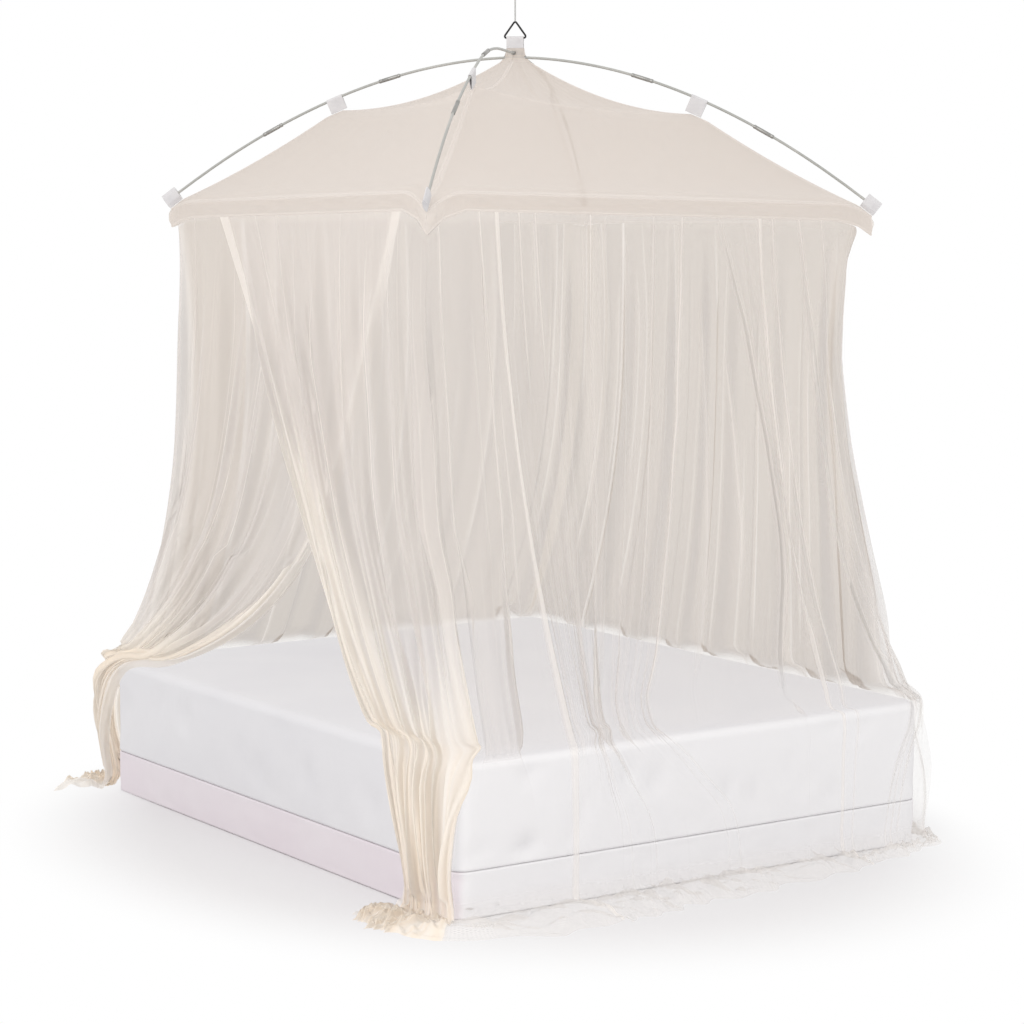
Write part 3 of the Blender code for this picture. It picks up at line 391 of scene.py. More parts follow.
@dataclass(frozen=True)
class BraidFinish:
    """Braided cord: two sets of plaits crossing on the surface."""

    name: str = "braided_cord"
    tone: Colour = (0.60, 0.60, 0.585)
    shade: Colour = (0.36, 0.36, 0.35)
    plaits: float = 8.0
    pitch: float = 0.0042
    axis: tuple[float, float] = (0.038, -0.026)

    def make(self) -> bpy.types.Material:
        """Builds the material from the turn round the cord's axis and the height along it.

        Returns:
            The material.
        """
        made = bpy.data.materials.new(self.name)
        board = NodeBoard(made)
        where = board.node("SeparateXYZ", {0: board.node("TexCoord").outputs["Object"]}).outputs
        turn = board.math("ARCTAN2", board.math("SUBTRACT", where[1], self.axis[1]),
                          board.math("SUBTRACT", where[0], self.axis[0]))
        along = board.math("MULTIPLY", where[2], 2 * math.pi / self.pitch)
        swing = board.math("MULTIPLY", turn, self.plaits / 2)
        first = board.math("SINE", board.math("ADD", along, swing))
        second = board.math("SINE", board.math("SUBTRACT", along, swing))
        plait = board.math("MAXIMUM", first, second)
        # Painted shade: the grooves between the plaits are pulled to the darker shade colour.
        tone = board.mix(board.ramp(plait, 0.2, 0.95), self.shade, self.tone)
        board.finish({"Base Color": tone, "Roughness": 0.82, "Normal": board.bump(plait, 0.6, 0.0005)})
        return made


@dataclass(frozen=True)
class BedClothFinish:
    """Plain woven bed cloth, with a fine weave and soft uneven whiteness."""

    name: str
    tone: Colour
    shade: Colour
    weave_pitch: float = 0.0016
    roughness: float = 0.88
    # The foot face's lighter tone: partly painted light, partly the white of bedding over the foot end.
    foot_light_and_bedding_tone: Colour | None = None
    foot_side: tuple[float, float] = (1.000, 1.018)

    def make(self) -> bpy.types.Material:
        """Builds the material on the object's coordinates, with a lighter tone on the foot side: partly
        painted light, partly the white of bedding that hangs over the foot end.

        Returns:
            The material.
        """
        made = bpy.data.materials.new(self.name)
        board = NodeBoard(made)
        weave = [board.node("TexWave", {"Vector": board.place("Object", (1.0, 1.0, 1.0)),
                                        "Scale": 0.314 / self.weave_pitch, "Distortion": 0.4},
                            bands_direction=way).outputs[1] for way in ("X", "Y", "Z")]
        cloth = board.math("ADD", board.math("MULTIPLY", weave[0], weave[1]),
                           board.math("MULTIPLY", weave[2], 0.5))
        patches = board.noise(board.place("Object", (1.0, 1.0, 1.0)), 2.4, 3.0)
        slubs = board.noise(board.place("Object", (160.0, 160.0, 14.0)), 1.0, 2.0)
        tone = board.mix(board.ramp(patches, 0.3, 0.8), self.tone, self.shade)
        tone = board.mix(board.math("MULTIPLY", board.ramp(slubs, 0.5, 0.8), 0.25), tone, self.shade)
        # Painted light: the foot face is lighter than the top and sides, partly as where the light falls,
        # partly the white of bedding that hangs over the foot end.
        if self.foot_light_and_bedding_tone:
            depth = board.node("SeparateXYZ", {0: board.place("Object", (1.0, -1.0, 1.0))}).outputs[1]
            tone = board.mix(board.ramp(depth, *self.foot_side), tone, self.foot_light_and_bedding_tone)
        board.finish({"Base Color": tone, "Roughness": self.roughness, "Sheen Weight": 0.1,
                      "Specular IOR Level": 0.2, "Normal": board.bump(cloth, 0.04, 0.0004)})
        return made


FINISHES: dict[Slot, object] = {
    Slot.NET: NetFinish(),
    Slot.WEBBING: WebbingFinish(),
    Slot.ROD: HardFinish("glass_fibre_rod", (0.36, 0.36, 0.34), (0.46, 0.45, 0.425), 0.42, 0.0),
    Slot.FERRULE: HardFinish("metal_sleeve", (0.33, 0.325, 0.31), (0.24, 0.235, 0.225), 0.34, 0.75),
    Slot.RING: HardFinish("black_wire", (0.004, 0.004, 0.004), (0.012, 0.012, 0.012), 0.55, 0.0),
    Slot.CORD: BraidFinish(),
    Slot.HOOK: HardFinish("plated_steel", (0.62, 0.62, 0.61), (0.45, 0.45, 0.44), 0.28, 0.95),
    Slot.MATTRESS: BedClothFinish("white_sheet", (0.66, 0.65, 0.665), (0.635, 0.625, 0.645),
                                  foot_light_and_bedding_tone=(0.76, 0.75, 0.76)),
    Slot.BASE: BedClothFinish("divan_cloth", (0.66, 0.60, 0.635), (0.69, 0.645, 0.67), 0.0022,
                              foot_light_and_bedding_tone=(0.76, 0.75, 0.76)),
}
TAUT_NET = NetFinish(name="taut_net", streaks=0.05, thin=(0.80, 0.73, 0.68), shaded=(0.50, 0.42, 0.345),
                     gathered=(0.83, 0.775, 0.73), softness=0.85, passes=0.55)


class Wardrobe:
    """Makes each finish once and dresses pieces in it."""

    def __init__(self) -> None:
        """Starts with no finish made."""
        self.made: dict[str, bpy.types.Material] = {}

    def material(self, finish: object) -> bpy.types.Material:
        """The finish's material, made once.

        Args:
            finish: A finish, which names its material.

        Returns:
            The material.
        """
        if finish.name not in self.made:
            self.made[finish.name] = finish.make()
        return self.made[finish.name]

    def dress(self, piece: bpy.types.Object, slot: Slot, *nodes: str,
              finish: object = None) -> bpy.types.Object:
        """Gives a piece its finish and its body, and hides the CAD nodes that it stands for.

        Args:
            piece: The finished piece.
            slot: Its material slot.
            nodes: CAD nodes that it replaces.
            finish: Its finish where it isn't the slot's usual one.

        Returns:
            The piece.
        """
        piece.data.materials.clear()
        piece.data.materials.append(self.material(finish or FINISHES[slot]))
        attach(piece, "root")
        if nodes:
            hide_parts(*nodes)
        LOG.info("%s: %s", piece.name, slot.value)
        return piece

    def repaint(self, node: str, slot: Slot) -> None:
        """Gives a CAD node that stays its material.

        Args:
            node: The CAD node's name.
            slot: The slot whose finish it gets.
        """
        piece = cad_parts[node]
        piece.data.materials.clear()
        piece.data.materials.append(self.material(FINISHES[slot]))
        LOG.info("%s: %s", node, slot.value)


def link(name: str, data: bpy.types.ID) -> bpy.types.Object:
    """Links new object data into the scene.

    Args:
        name: Name of the object.
        data: Its mesh, curve, light or camera.

    Returns:
        The object.
    """
    made = bpy.data.objects.new(name, data)
    bpy.context.scene.collection.objects.link(made)
    return made


def mesh_piece(name: str, bm: bmesh.types.BMesh, smooth_angle: float = 40.0) -> bpy.types.Object:
    """Turns a bmesh into a piece, shaded smooth below an angle in degrees.

    Args:
        name: Name of the piece.
        bm: Its mesh, which is freed.
        smooth_angle: The steepest edge that is shaded smooth.

    Returns:
        The piece.
    """
    mesh = bpy.data.meshes.new(name)
    bm.to_mesh(mesh)
    bm.free()
    mesh.shade_smooth()
    mesh.set_sharp_from_angle(angle=math.radians(smooth_angle))
    return link(name, mesh)


def cloth_piece(name: str, points: np.ndarray, flat: np.ndarray,
                attributes: dict[str, np.ndarray]) -> bpy.types.Object:
    """A sheet of cloth from a bmesh grid.

    Args:
        name: The piece's name.
        points: Rows of points, rows running down and columns to the right of a viewer outside.
        flat: The same grid's places on the flat cloth, in metres.
        attributes: Values or vectors per point by attribute name.

    Returns:
        The piece, with a UV map in metres of cloth.
    """
    rows, columns = points.shape[:2]
    bm = bmesh.new()
    bmesh.ops.create_grid(bm, x_segments=columns - 1, y_segments=rows - 1, size=1.0)
    order = [(round((1 - vert.co.y) / 2 * (rows - 1)), round((vert.co.x + 1) / 2 * (columns - 1)))
             for vert in bm.verts]
    mesh = bpy.data.meshes.new(name)
    bm.to_mesh(mesh)
    bm.free()
    index = np.array(order)
    mesh.vertices.foreach_set("co", points[index[:, 0], index[:, 1]].astype(np.float32).ravel())
    for key, values in attributes.items():
        wide = values.ndim == 3
        layer = mesh.attributes.new(key, "FLOAT_VECTOR" if wide else "FLOAT", "POINT")
        layer.data.foreach_set("vector" if wide else "value",
                               values[index[:, 0], index[:, 1]].astype(np.float32).ravel())
    corners = np.zeros(len(mesh.loops), np.int32)
    mesh.loops.foreach_get("vertex_index", corners)
    chart = mesh.uv_layers.new(name="cloth")
    chart.data.foreach_set("uv", flat[index[corners, 0], index[corners, 1]].astype(np.float32).ravel())
    mesh.shade_smooth()
    mesh.update()
    return link(name, mesh)


def subdivided(rows: np.ndarray, steps: list[int]) -> np.ndarray:
    """Joins rows of values by smooth curves and cuts each stretch into steps.

    Args:
        rows: Control rows along the first axis.
        steps: The steps of each stretch between two control rows.

    Returns:
        The finer rows.
    """
    flat = rows.reshape(len(rows), -1)
    lengths = [np.sqrt(((b - a) ** 2).sum() / rows.shape[1]) for a, b in zip(flat, flat[1:])]
    lengths = np.maximum(np.array(lengths), 1e-6)
    slopes = np.diff(flat, axis=0) / lengths[:, None]
    tangents = np.empty_like(flat)
    tangents[0], tangents[-1] = slopes[0], slopes[-1]
    weights = lengths[:-1, None] / (lengths[:-1] + lengths[1:])[:, None]
    tangents[1:-1] = slopes[:-1] * (1 - weights) + slopes[1:] * weights
    made = []
    for k, count in enumerate(steps):
        last = k == len(steps) - 1
        for t in np.linspace(0, 1, count + 1)[:count + last]:
            bend = tangents[k] * (t**3 - 2 * t**2 + t) + tangents[k + 1] * (t**3 - t**2)
            made.append(flat[k] * (2 * t**3 - 3 * t**2 + 1) + flat[k + 1] * (3 * t**2 - 2 * t**3)
                        + lengths[k] * bend)
    return np.array(made).reshape(len(made), *rows.shape[1:])


@dataclass(frozen=True)
class CanopyForm:
    """Sizes of the canopy and the bed, and the heights and plan lines that its cloth follows."""

    half: tuple[float, float] = (0.791, 0.7365)
    centre: tuple[float, float] = (0.038, -0.026)
    bed_half: tuple[float, float] = (0.83, 1.02)
    bed_top: float = 0.43
    edge_radius: float = 0.03
    net: float = 0.0016
    gap: float = 0.0003
    low_peak: float = 2.344
    high_peak: float = 2.3563
    rod_ends: tuple[float, ...] = (1.908, 1.900, 1.904, 1.920)
    tab_place: float = 0.52
    tab_drops: tuple[float, ...] = (0.045, 0.053, 0.045, 0.043)
    strap: float = 0.052
    pocket: tuple[float, float] = (0.050, 0.046)
    peak_share: float = 0.042
    peak_height: float = 2.331
    hip_sag: tuple[float, float] = (0.036, 0.012)
    gore_sag: float = 0.022
    eave_bow: float = 0.018
    eaves: tuple[float, ...] = (1.944, 1.902, 1.880, 1.907)
    dip_reach: float = 0.13
    valance_drop: tuple[float, float] = (0.052, 0.062)
    wall_top: float = 1.860
    lean_power: float = 2.4
    lean_hollow: float = 0.10
    hang_clear: float = 0.0043
    low_bend: float = 1.9
    bed_corner: float = 0.012

    HIGH_RISES = (
        ((0.0, 1.0), (0.06, 1.001), (0.14, 1.008), (0.24, 1.008), (0.33, 0.985), (0.42, 0.93), (0.52, 0.822),
         (0.61, 0.715), (0.70, 0.597), (0.80, 0.437), (0.90, 0.247), (1.0, 0.028), (1.02, -0.022)),
        ((0.0, 1.0), (0.04, 1.0), (0.08, 0.993), (0.14, 0.976), (0.24, 0.946), (0.33, 0.912),
         (0.42, 0.862), (0.52, 0.785), (0.61, 0.693), (0.70, 0.583), (0.80, 0.432), (0.90, 0.247),
         (1.0, 0.028), (1.02, -0.022)))
    ROUNDING = ((0.00, 0.04, 0.06, 0.05, 0.04), (0.08, 0.08, 0.16, 0.10, 0.06),
                (0.30, 0.12, 0.22, 0.16, 0.07), (0.50, 0.10, 0.19, 0.14, 0.08),
                (0.70, 0.08, 0.12, 0.09, 0.07), (0.85, 0.05, 0.06, 0.05, 0.05),
                (1.00, 0.02, 0.02, 0.02, 0.02))

    @property
    def diagonal(self) -> float:
        """From the canopy's centre to a corner in plan."""
        return math.hypot(*self.half)

    @property
    def middle(self) -> np.ndarray:
        """The canopy's centre in plan."""
        return np.array(self.centre)

    @property
    def lay_height(self) -> float:
        """Height of the cloth's middle where it lies on the mattress."""
        return self.bed_top + self.hang_clear

    def corner(self, corner: int) -> np.ndarray:
        """From the centre to a corner, in plan."""
        return np.array(CORNER_SIGNS[corner % 4]) * self.half

    def over_diagonal(self, corner: int, share: float, height: float) -> np.ndarray:
        """A point over a diagonal: share 0 at the centre, 1 over the corner."""
        return np.array([*(self.middle + share * self.corner(corner)), height])

    def rod_height(self, corner: int, share: float) -> float:
        """Height of the rod that ends at this corner.

        Args:
            corner: The corner, counted round the canopy.
            share: Share of the way from the middle to the corner.

        Returns:
            Height of the rod's axis.
        """
        end, share = self.rod_ends[corner % 4], abs(share)
        if corner % 2:
            return self.low_peak - (self.low_peak - end) * share**self.low_bend
        shares, rises = np.array(self.HIGH_RISES[corner % 4 // 2]).T
        return end + (self.high_peak - end) * float(np.interp(share, shares, rises))

    def rod_frame(self, corner: int, share: float) -> tuple[np.ndarray, np.ndarray, np.ndarray]:
        """Directions at a share of a rod: along it outwards, down square to it, and across.

        Args:
            corner: The corner at the rod's end.
            share: Share of the way from the middle to the corner.

        Returns:
            The three unit vectors.
        """
        step, outward = 0.01, np.append(self.corner(corner) / self.diagonal, 0.0)
        fall = self.rod_height(corner, share + step) - self.rod_height(corner, share - step)
        along = unit(outward + np.array([0.0, 0.0, fall / (2 * step * self.diagonal)]))
        across = np.cross(outward, (0.0, 0.0, 1.0))
        down = np.cross(along, across)
        return along, down if down[2] < 0 else -down, across

    def pocket_foot(self, corner: int, share: float) -> float:
        """Height of the pocket's lower edge over the diagonal.

        Args:
            corner: The pocket's corner.
            share: Share of the way from the middle to the corner.

        Returns:
            The edge's height there.
        """
        along, down, _ = self.rod_frame(corner, 1.0)
        outward = np.append(self.corner(corner) / self.diagonal, 0.0)
        edge = down * self.pocket[1] / 2
        travel = ((share - 1.0) * self.diagonal - edge @ outward) / (along @ outward)
        return self.rod_height(corner, 1.0) + edge[2] + travel * along[2]

    def pocket_start(self, corner: int) -> float:
        """Share of the diagonal at the pocket's lower inner corner.

        Args:
            corner: The pocket's corner.

        Returns:
            The share, a little under 1.
        """
        along, down, _ = self.rod_frame(corner, 1.0)
        outward = np.append(self.corner(corner) / self.diagonal, 0.0)
        return 1.0 + ((down * self.pocket[1] - along * self.pocket[0]) / 2 @ outward) / self.diagonal

    def hip_height(self, corner: int, share: float) -> float:
        """Height of the roof's hip seam under its rod.

        Args:
            corner: The corner that the seam runs to.
            share: Share of the way from the middle to the corner.

        Returns:
            The height, under the tab and the pocket where they are, and sagging between them.
        """
        lift = self.gap + self.net
        shoulder = self.pocket_start(corner) - 0.002
        if share >= shoulder:
            return self.pocket_foot(corner, share) - lift
        reach = self.strap / 2 / self.diagonal

        def tab_line(place: float) -> float:
            """Height of the tab's lower edge over the diagonal."""
            return self.rod_height(corner, place) - self.tab_drops[corner % 4] - lift

        if share > self.tab_place + reach:
            part = (share - self.tab_place - reach) / (shoulder - self.tab_place - reach)
            high, low = tab_line(self.tab_place + reach), self.pocket_foot(corner, shoulder) - lift
            return high + (low - high) * part - self.hip_sag[1] * 4 * part * (1 - part)
        if share > self.tab_place - reach:
            return tab_line(share)
        part = (share - self.peak_share) / (self.tab_place - reach - self.peak_share)
        high, low = self.peak_height, tab_line(self.tab_place - reach)
        return high + (low - high) * part - self.hip_sag[0] * 4 * part * (1 - part)

    def wall_length(self, wall: int) -> float:
        """Length of a canopy side."""
        return 2 * self.half[wall % 2]

    def eave_height(self, wall: int, share: float) -> float:
        """Height of the seam between roof and valance: level, but drawn down at the pockets.

        Args:
            wall: The wall, counted round the canopy.
            share: Share of the wall from its first corner.

        Returns:
            The seam's height.
        """
        start, end = self.eaves[wall % 4], self.eaves[(wall + 1) % 4]
        height = start + (end - start) * share
        for corner, distance in ((wall, share * self.wall_length(wall)),
                                 (wall + 1, (1 - share) * self.wall_length(wall))):
            if distance < self.dip_reach:
                reach = 1 - distance / self.dip_reach
                height += (self.hip_height(corner, 1.0) - self.eaves[corner % 4]) * reach**2
        return height

    def knots(self, wall: int) -> tuple[float, ...]:
        """Shares of a wall between which the valance's foot is straight."""
        near, far = 0.05 / self.wall_length(wall), self.dip_reach / self.wall_length(wall)
        return (0.0, near, far, 0.26, 0.42, 0.58, 0.74, 1 - far, 1 - near, 1.0)

    def valance_foot(self, wall: int, shares: np.ndarray) -> np.ndarray:
        """Heights of the valance's lower seam at shares of a wall.

        Args:
            wall: The wall, counted round the canopy.
            shares: Shares of the wall from its first corner.

        Returns:
            The heights.
        """
        values, (drop, corner_drop) = [], self.valance_drop
        for knot in self.knots(wall):
            nearest = min(knot, 1 - knot) * self.wall_length(wall)
            part = max(0.0, 1 - nearest / self.dip_reach) ** 2
            values.append(self.eave_height(wall, knot) - drop - (corner_drop - drop) * part)
        return np.interp(shares, self.knots(wall), values)

    def wall_along(self, wall: int) -> tuple[np.ndarray, np.ndarray]:
        """Unit vectors along a side and out of it, in plan."""
        along = unit(self.corner(wall + 1) - self.corner(wall))
        return along, np.array([along[1], -along[0]])

    def eave_point(self, wall: int, share: float) -> np.ndarray:
        """Plan point of the eave, bowed in a little between the corners.

        Args:
            wall: The wall, counted round the canopy.
            share: Share of the wall from its first corner.

        Returns:
            The point in plan.
        """
        start, end = self.corner(wall), self.corner(wall + 1)
        _, outward = self.wall_along(wall)
        return self.middle + start + (end - start) * share - outward * self.eave_bow * 4 * share * (1 - share)

    @staticmethod
    def perimeter(place: float, half: np.ndarray, centre: np.ndarray,
                  radii: tuple[float, ...]) -> tuple[np.ndarray, np.ndarray]:
        """Plan point and outward normal on a rectangle with round corners at a wall coordinate.

        Args:
            place: Number of the wall and the share along it.
            half: Half of the rectangle's sides.
            centre: Middle of the rectangle.
            radii: Radius of each corner.

        Returns:
            The point and the unit normal.
        """
        wall = math.floor(place)
        share = place - wall
        start = np.array(CORNER_SIGNS[wall % 4]) * half + centre
        end = np.array(CORNER_SIGNS[(wall + 1) % 4]) * half + centre
        length = float(np.linalg.norm(end - start))
        along = (end - start) / length
        outward = np.array([along[1], -along[0]])
        near_start = share <= 0.5
        distance = (share if near_start else 1 - share) * length
        radius = radii[(wall if near_start else wall + 1) % 4]
        if distance >= radius:
            return start + along * share * length, outward
        turn = math.pi / 4 * (1 - distance / radius)
        from_corner = along if near_start else -along
        arc_centre = (start if near_start else end) + (from_corner - outward) * radius
        direction = outward * math.cos(turn) - from_corner * math.sin(turn)
        return arc_centre + direction * radius, direction

    def wall_point(self, place: float, height: float) -> tuple[np.ndarray, np.ndarray]:
        """Plan point and outward normal of the hanging walls.

        Args:
            place: Number of the wall and the share along it.
            height: Height above the floor.

        Returns:
            The point and the unit normal.
        """
        share = min(max((self.wall_top - height) / (self.wall_top - self.lay_height), 0.0), 1.0)
        lean = share**self.lean_power - self.lean_hollow * math.sin(math.pi * share)
        table = np.array(self.ROUNDING).T
        radii = tuple(float(np.interp(share, table[0], column)) for column in table[1:])
        half = np.array(self.half)
        half = half + (np.array(self.bed_half) - self.edge_radius - half) * lean
        plan, normal = self.perimeter(place, half, self.middle * (1 - lean), radii)
        part = place - math.floor(place)
        return plan - normal * self.eave_bow * 4 * part * (1 - part) * (1 - share) ** 2, normal

    def bed_point(self, place: float, outward: float) -> tuple[np.ndarray, np.ndarray]:
        """Plan point and outward normal at a distance outside the bed's sides."""
        radii = (self.bed_corner + max(outward, 0.0),) * 4
        return self.perimeter(place, np.array(self.bed_half) + outward, np.zeros(2), radii)


FORM = CanopyForm()


@dataclass
class RoofGore:
    """One of the four roof panels: taut net between two hips, with sewn edges."""

    wall: int
    columns: int = 121
    rows: int = 96
    seam: float = 0.007
    pulled: float = 0.0014
    creased: float = 0.0026
    flat_margin: float = 0.02
    flat_drop: float = 1.03
    flat_share: float = 0.54

    def shape(self) -> tuple[np.ndarray, np.ndarray]:
        """The panel's points and their places on the flat cloth.

        Returns:
            Rows of points and rows of flat places.
        """
        form = FORM
        edge = self.seam / form.wall_length(self.wall)
        inner = np.linspace(edge, 1 - edge, self.columns - 4)
        knots = np.concatenate(([0.0, edge / 2], inner, [1 - edge / 2, 1.0]))
        shares = form.peak_share + (1 - form.peak_share) * np.linspace(0, 1, self.rows)
        points = np.zeros((self.rows, self.columns, 3))
        hips = np.array([[form.hip_height(self.wall + side, share) for share in shares] for side in (0, 1)])
        top = np.array([form.hip_height(self.wall + side, 1.0) for side in (0, 1)])
        for c, knot in enumerate(knots):
            eave = form.eave_point(self.wall, knot)
            lift = form.eave_height(self.wall, knot) - top[0] * (1 - knot) - top[1] * knot
            down = (shares - form.peak_share) / (1 - form.peak_share)
            plan = form.middle + np.outer(shares, eave - form.middle)
            ruled = hips[0] * (1 - knot) + hips[1] * knot
            sag = form.gore_sag * 4 * knot * (1 - knot) * np.sin(math.pi * down)
            points[:, c, :2] = plan
            points[:, c, 2] = ruled - sag + lift * np.maximum(0.0, (down - 0.80) / 0.20) ** 2
        middle = self.columns // 2
        width = form.wall_length(self.wall)
        drop = float(np.linalg.norm(points[-1, middle] - points[0, middle]))
        flat = np.zeros((self.rows, self.columns, 2))
        flat[..., 0] = 10 * self.wall + np.outer(shares, (knots - 0.5) * width)
        flat[..., 1] = (shares * drop)[:, None]
        pulls = ripples(knots[None, :] * 9, shares[:, None] * 2.2, 40 + self.wall)
        slack = np.outer(np.sin(math.pi * down) ** 0.7, np.sin(math.pi * knots) ** 0.7)
        near_eave = smooth_step(0.78, 0.96, shares)[:, None] * np.sin(math.pi * knots)[None, :] ** 0.5
        creases = ripples(knots[None, :] * 7 + 9 * shares[:, None], shares[:, None] * 3.0, 50 + self.wall)
        points[..., 2] += (self.pulled * pulls * slack
                           - self.creased * np.maximum(creases, 0) ** 2 * near_eave * slack ** 0.3)
        return points, flat

    def shaded(self) -> float:
        """How far the panel stands away from the light."""
        return 1.0 if self.wall in (1, 2) else 0.22

    def cover(self, points: np.ndarray) -> np.ndarray:
        """How much the yarn hides: evenly over the panel, and most in the seam allowances.

        Args:
            points: The panel's points.

        Returns:
            The share hidden at each point.
        """
        shares = np.linspace(0, 1, self.rows)[:, None]
        sides = np.minimum(np.linalg.norm(points - points[:, :1], axis=2),
                           np.linalg.norm(points - points[:, -1:], axis=2))
        below = np.linalg.norm(points - points[-1:], axis=2)
        seam = np.maximum(1 - smooth_step(self.seam * 0.6, self.seam * 1.6, sides),
                          1 - smooth_step(self.seam * 0.9, self.seam * 1.6, below))
        plain = 0.70 if self.wall in (1, 2) else 0.66
        return plain + 0.03 * shares + seam * 0.18

    def build(self, wardrobe: Wardrobe) -> bpy.types.Object:
        """Makes the panel and puts it in its node's place.

        Args:
            wardrobe: Dresses the piece.

        Returns:
            The piece.
        """
        points, flat = self.shape()
        cover = self.cover(points)
        name = WALL_NAMES[self.wall]
        piece = cloth_piece(f"gore_{name}", points, flat,
                            {"cover": cover, "shaded": np.full_like(cover, self.shaded())})
        wardrobe.dress(piece, Slot.NET, f"roof_gore_{name}", finish=TAUT_NET)
        return piece


@dataclass
class Valance:
    """The band between roof and curtains on one side, with a welt along both seams."""

    wall: int
    columns: int = 260
    depth: float = 0.056
    ease: float = 1.03
    most_stand: float = 0.008

    ROWS = (0.0, 0.002, 0.0045, 0.007, 0.012, 0.020, 0.028, 0.036, 0.044, 0.050, 0.055, 0.0575, 0.0600)

    def shape(self) -> tuple[np.ndarray, np.ndarray, np.ndarray]:
        """The band's points, its places on the flat cloth, and each row's distance down.

        Returns:
            The points, the flat places and the distances.
        """
        form = FORM
        _, outward = form.wall_along(self.wall)
        knots = np.linspace(0, 1, self.columns)
        foot = form.valance_foot(self.wall, knots)
        rows = np.array(self.ROWS) / self.ROWS[-1]
        length = form.wall_length(self.wall)
        near = np.minimum(knots, 1 - knots) * length
        points = np.zeros((len(rows), self.columns, 3))
        puff = 0.004 * np.sin(math.pi * rows)
        welt = 0.0022 * np.exp(-((rows - 0.05) / 0.05) ** 2) + 0.0018 * np.exp(-((rows - 0.95) / 0.05) ** 2)
        scrunch = ripples(knots * length / 0.016, rows[:, None] * 0.8, 70 + self.wall)
        scrunch = scrunch * np.exp(-near / 0.07) * 0.0035
        waver = ripples(knots * length / 0.10, rows[:, None] * 1.2, 80 + self.wall) * 0.0022
        stand = (puff + welt)[:, None] + (scrunch + waver) * np.sin(math.pi * rows)[:, None]
        for c, knot in enumerate(knots):
            top = form.eave_height(self.wall, knot) - 0.0004
            plan = form.eave_point(self.wall, knot)
            points[:, c, :2] = plan + outward * np.minimum(stand[:, c], self.most_stand)[:, None]
            points[:, c, 2] = top + (foot[c] - top) * rows
        for c, corner in ((0, self.wall), (self.columns - 1, self.wall + 1)):
            across = form.corner(corner)[::-1] * (1, -1) / form.diagonal
            slip = (points[:, c, :2] - form.middle) @ across / (form.wall_along(self.wall)[0] @ across)
            points[:, c, :2] -= slip[:, None] * form.wall_along(self.wall)[0]
        flat = np.zeros((len(rows), self.columns, 2))
        flat[..., 0] = 40 + 10 * self.wall + knots * length * self.ease
        flat[..., 1] = (rows * self.depth)[:, None]
        return points, flat, rows

    def build(self, wardrobe: Wardrobe) -> bpy.types.Object:
        """Makes the band and puts it in its node's place.

        Args:
            wardrobe: Dresses the piece.

        Returns:
            The piece.
        """
        points, flat, rows = self.shape()
        length = FORM.wall_length(self.wall)
        knots = np.linspace(0, 1, self.columns)
        near = np.minimum(knots, 1 - knots) * length
        edge = np.maximum(1 - smooth_step(0.08, 0.14, rows), smooth_step(0.86, 0.92, rows))[:, None]
        cover = 0.58 + 0.22 * edge + 0.20 * np.exp(-near / 0.045)[None, :] * (1 - edge)
        shaded = np.full_like(cover, 0.9 if self.wall in (1, 2) else 0.15)
        name = WALL_NAMES[self.wall]
        piece = cloth_piece(f"band_{name}", points, flat,
                            {"cover": np.minimum(cover, 0.97), "shaded": shaded})
        wardrobe.dress(piece, Slot.NET, f"valance_{name}", finish=TAUT_NET)
        return piece


@dataclass(frozen=True)
class FoldLine:
    """A fold that stays in the cloth all the way down.

    The track gives its place on the wall at falling shares of the drop; strength is 0 to 1.
    """

    track: tuple[tuple[float, float], ...]
    strength: float = 1.0
    width: float = 0.0030
    ridge: float = 0.003

    @property
    def start(self) -> float:
        """The fold's place under the valance."""
        return self.track[0][1]


@dataclass(frozen=True)
class Crease:
    """A sharp crease in hanging net, with the cloth doubled beside it for a little way.

    place is along the valance, start and end are shares of the drop, and doubled is the width of the
    doubled cloth in metres, negative to the left.
    """

    place: float
    start: float
    end: float
    strength: float
    doubled: float
    ridge: float = 0.002


@dataclass(frozen=True)
class YarnCover:
    """How much of the surface the yarn hides in a hanging width.

    near is the share that one layer hides on the walls near the light, far what the others add, and tight
    what is lost where the net lies drawn against the bed's side. crowding is how fast gathered cloth piles
    up, from fewest_layers to loose_layers, or most_layers more in a bunch. band, bright, hem and heaped are
    the shares of the rest that a free edge's band, a fold line, a hem and cloth on the floor hide.
    """

    near: float = 0.205
    far: float = 0.465
    tight: float = 0.75
    crowding: float = 1.9
    fewest_layers: float = 0.8
    loose_layers: float = 2.0
    most_layers: float = 12.0
    band: float = 0.68
    bright: float = 0.80
    hem: float = 0.12
    heaped: float = 0.30
    full: float = 0.97
    most: float = 0.985


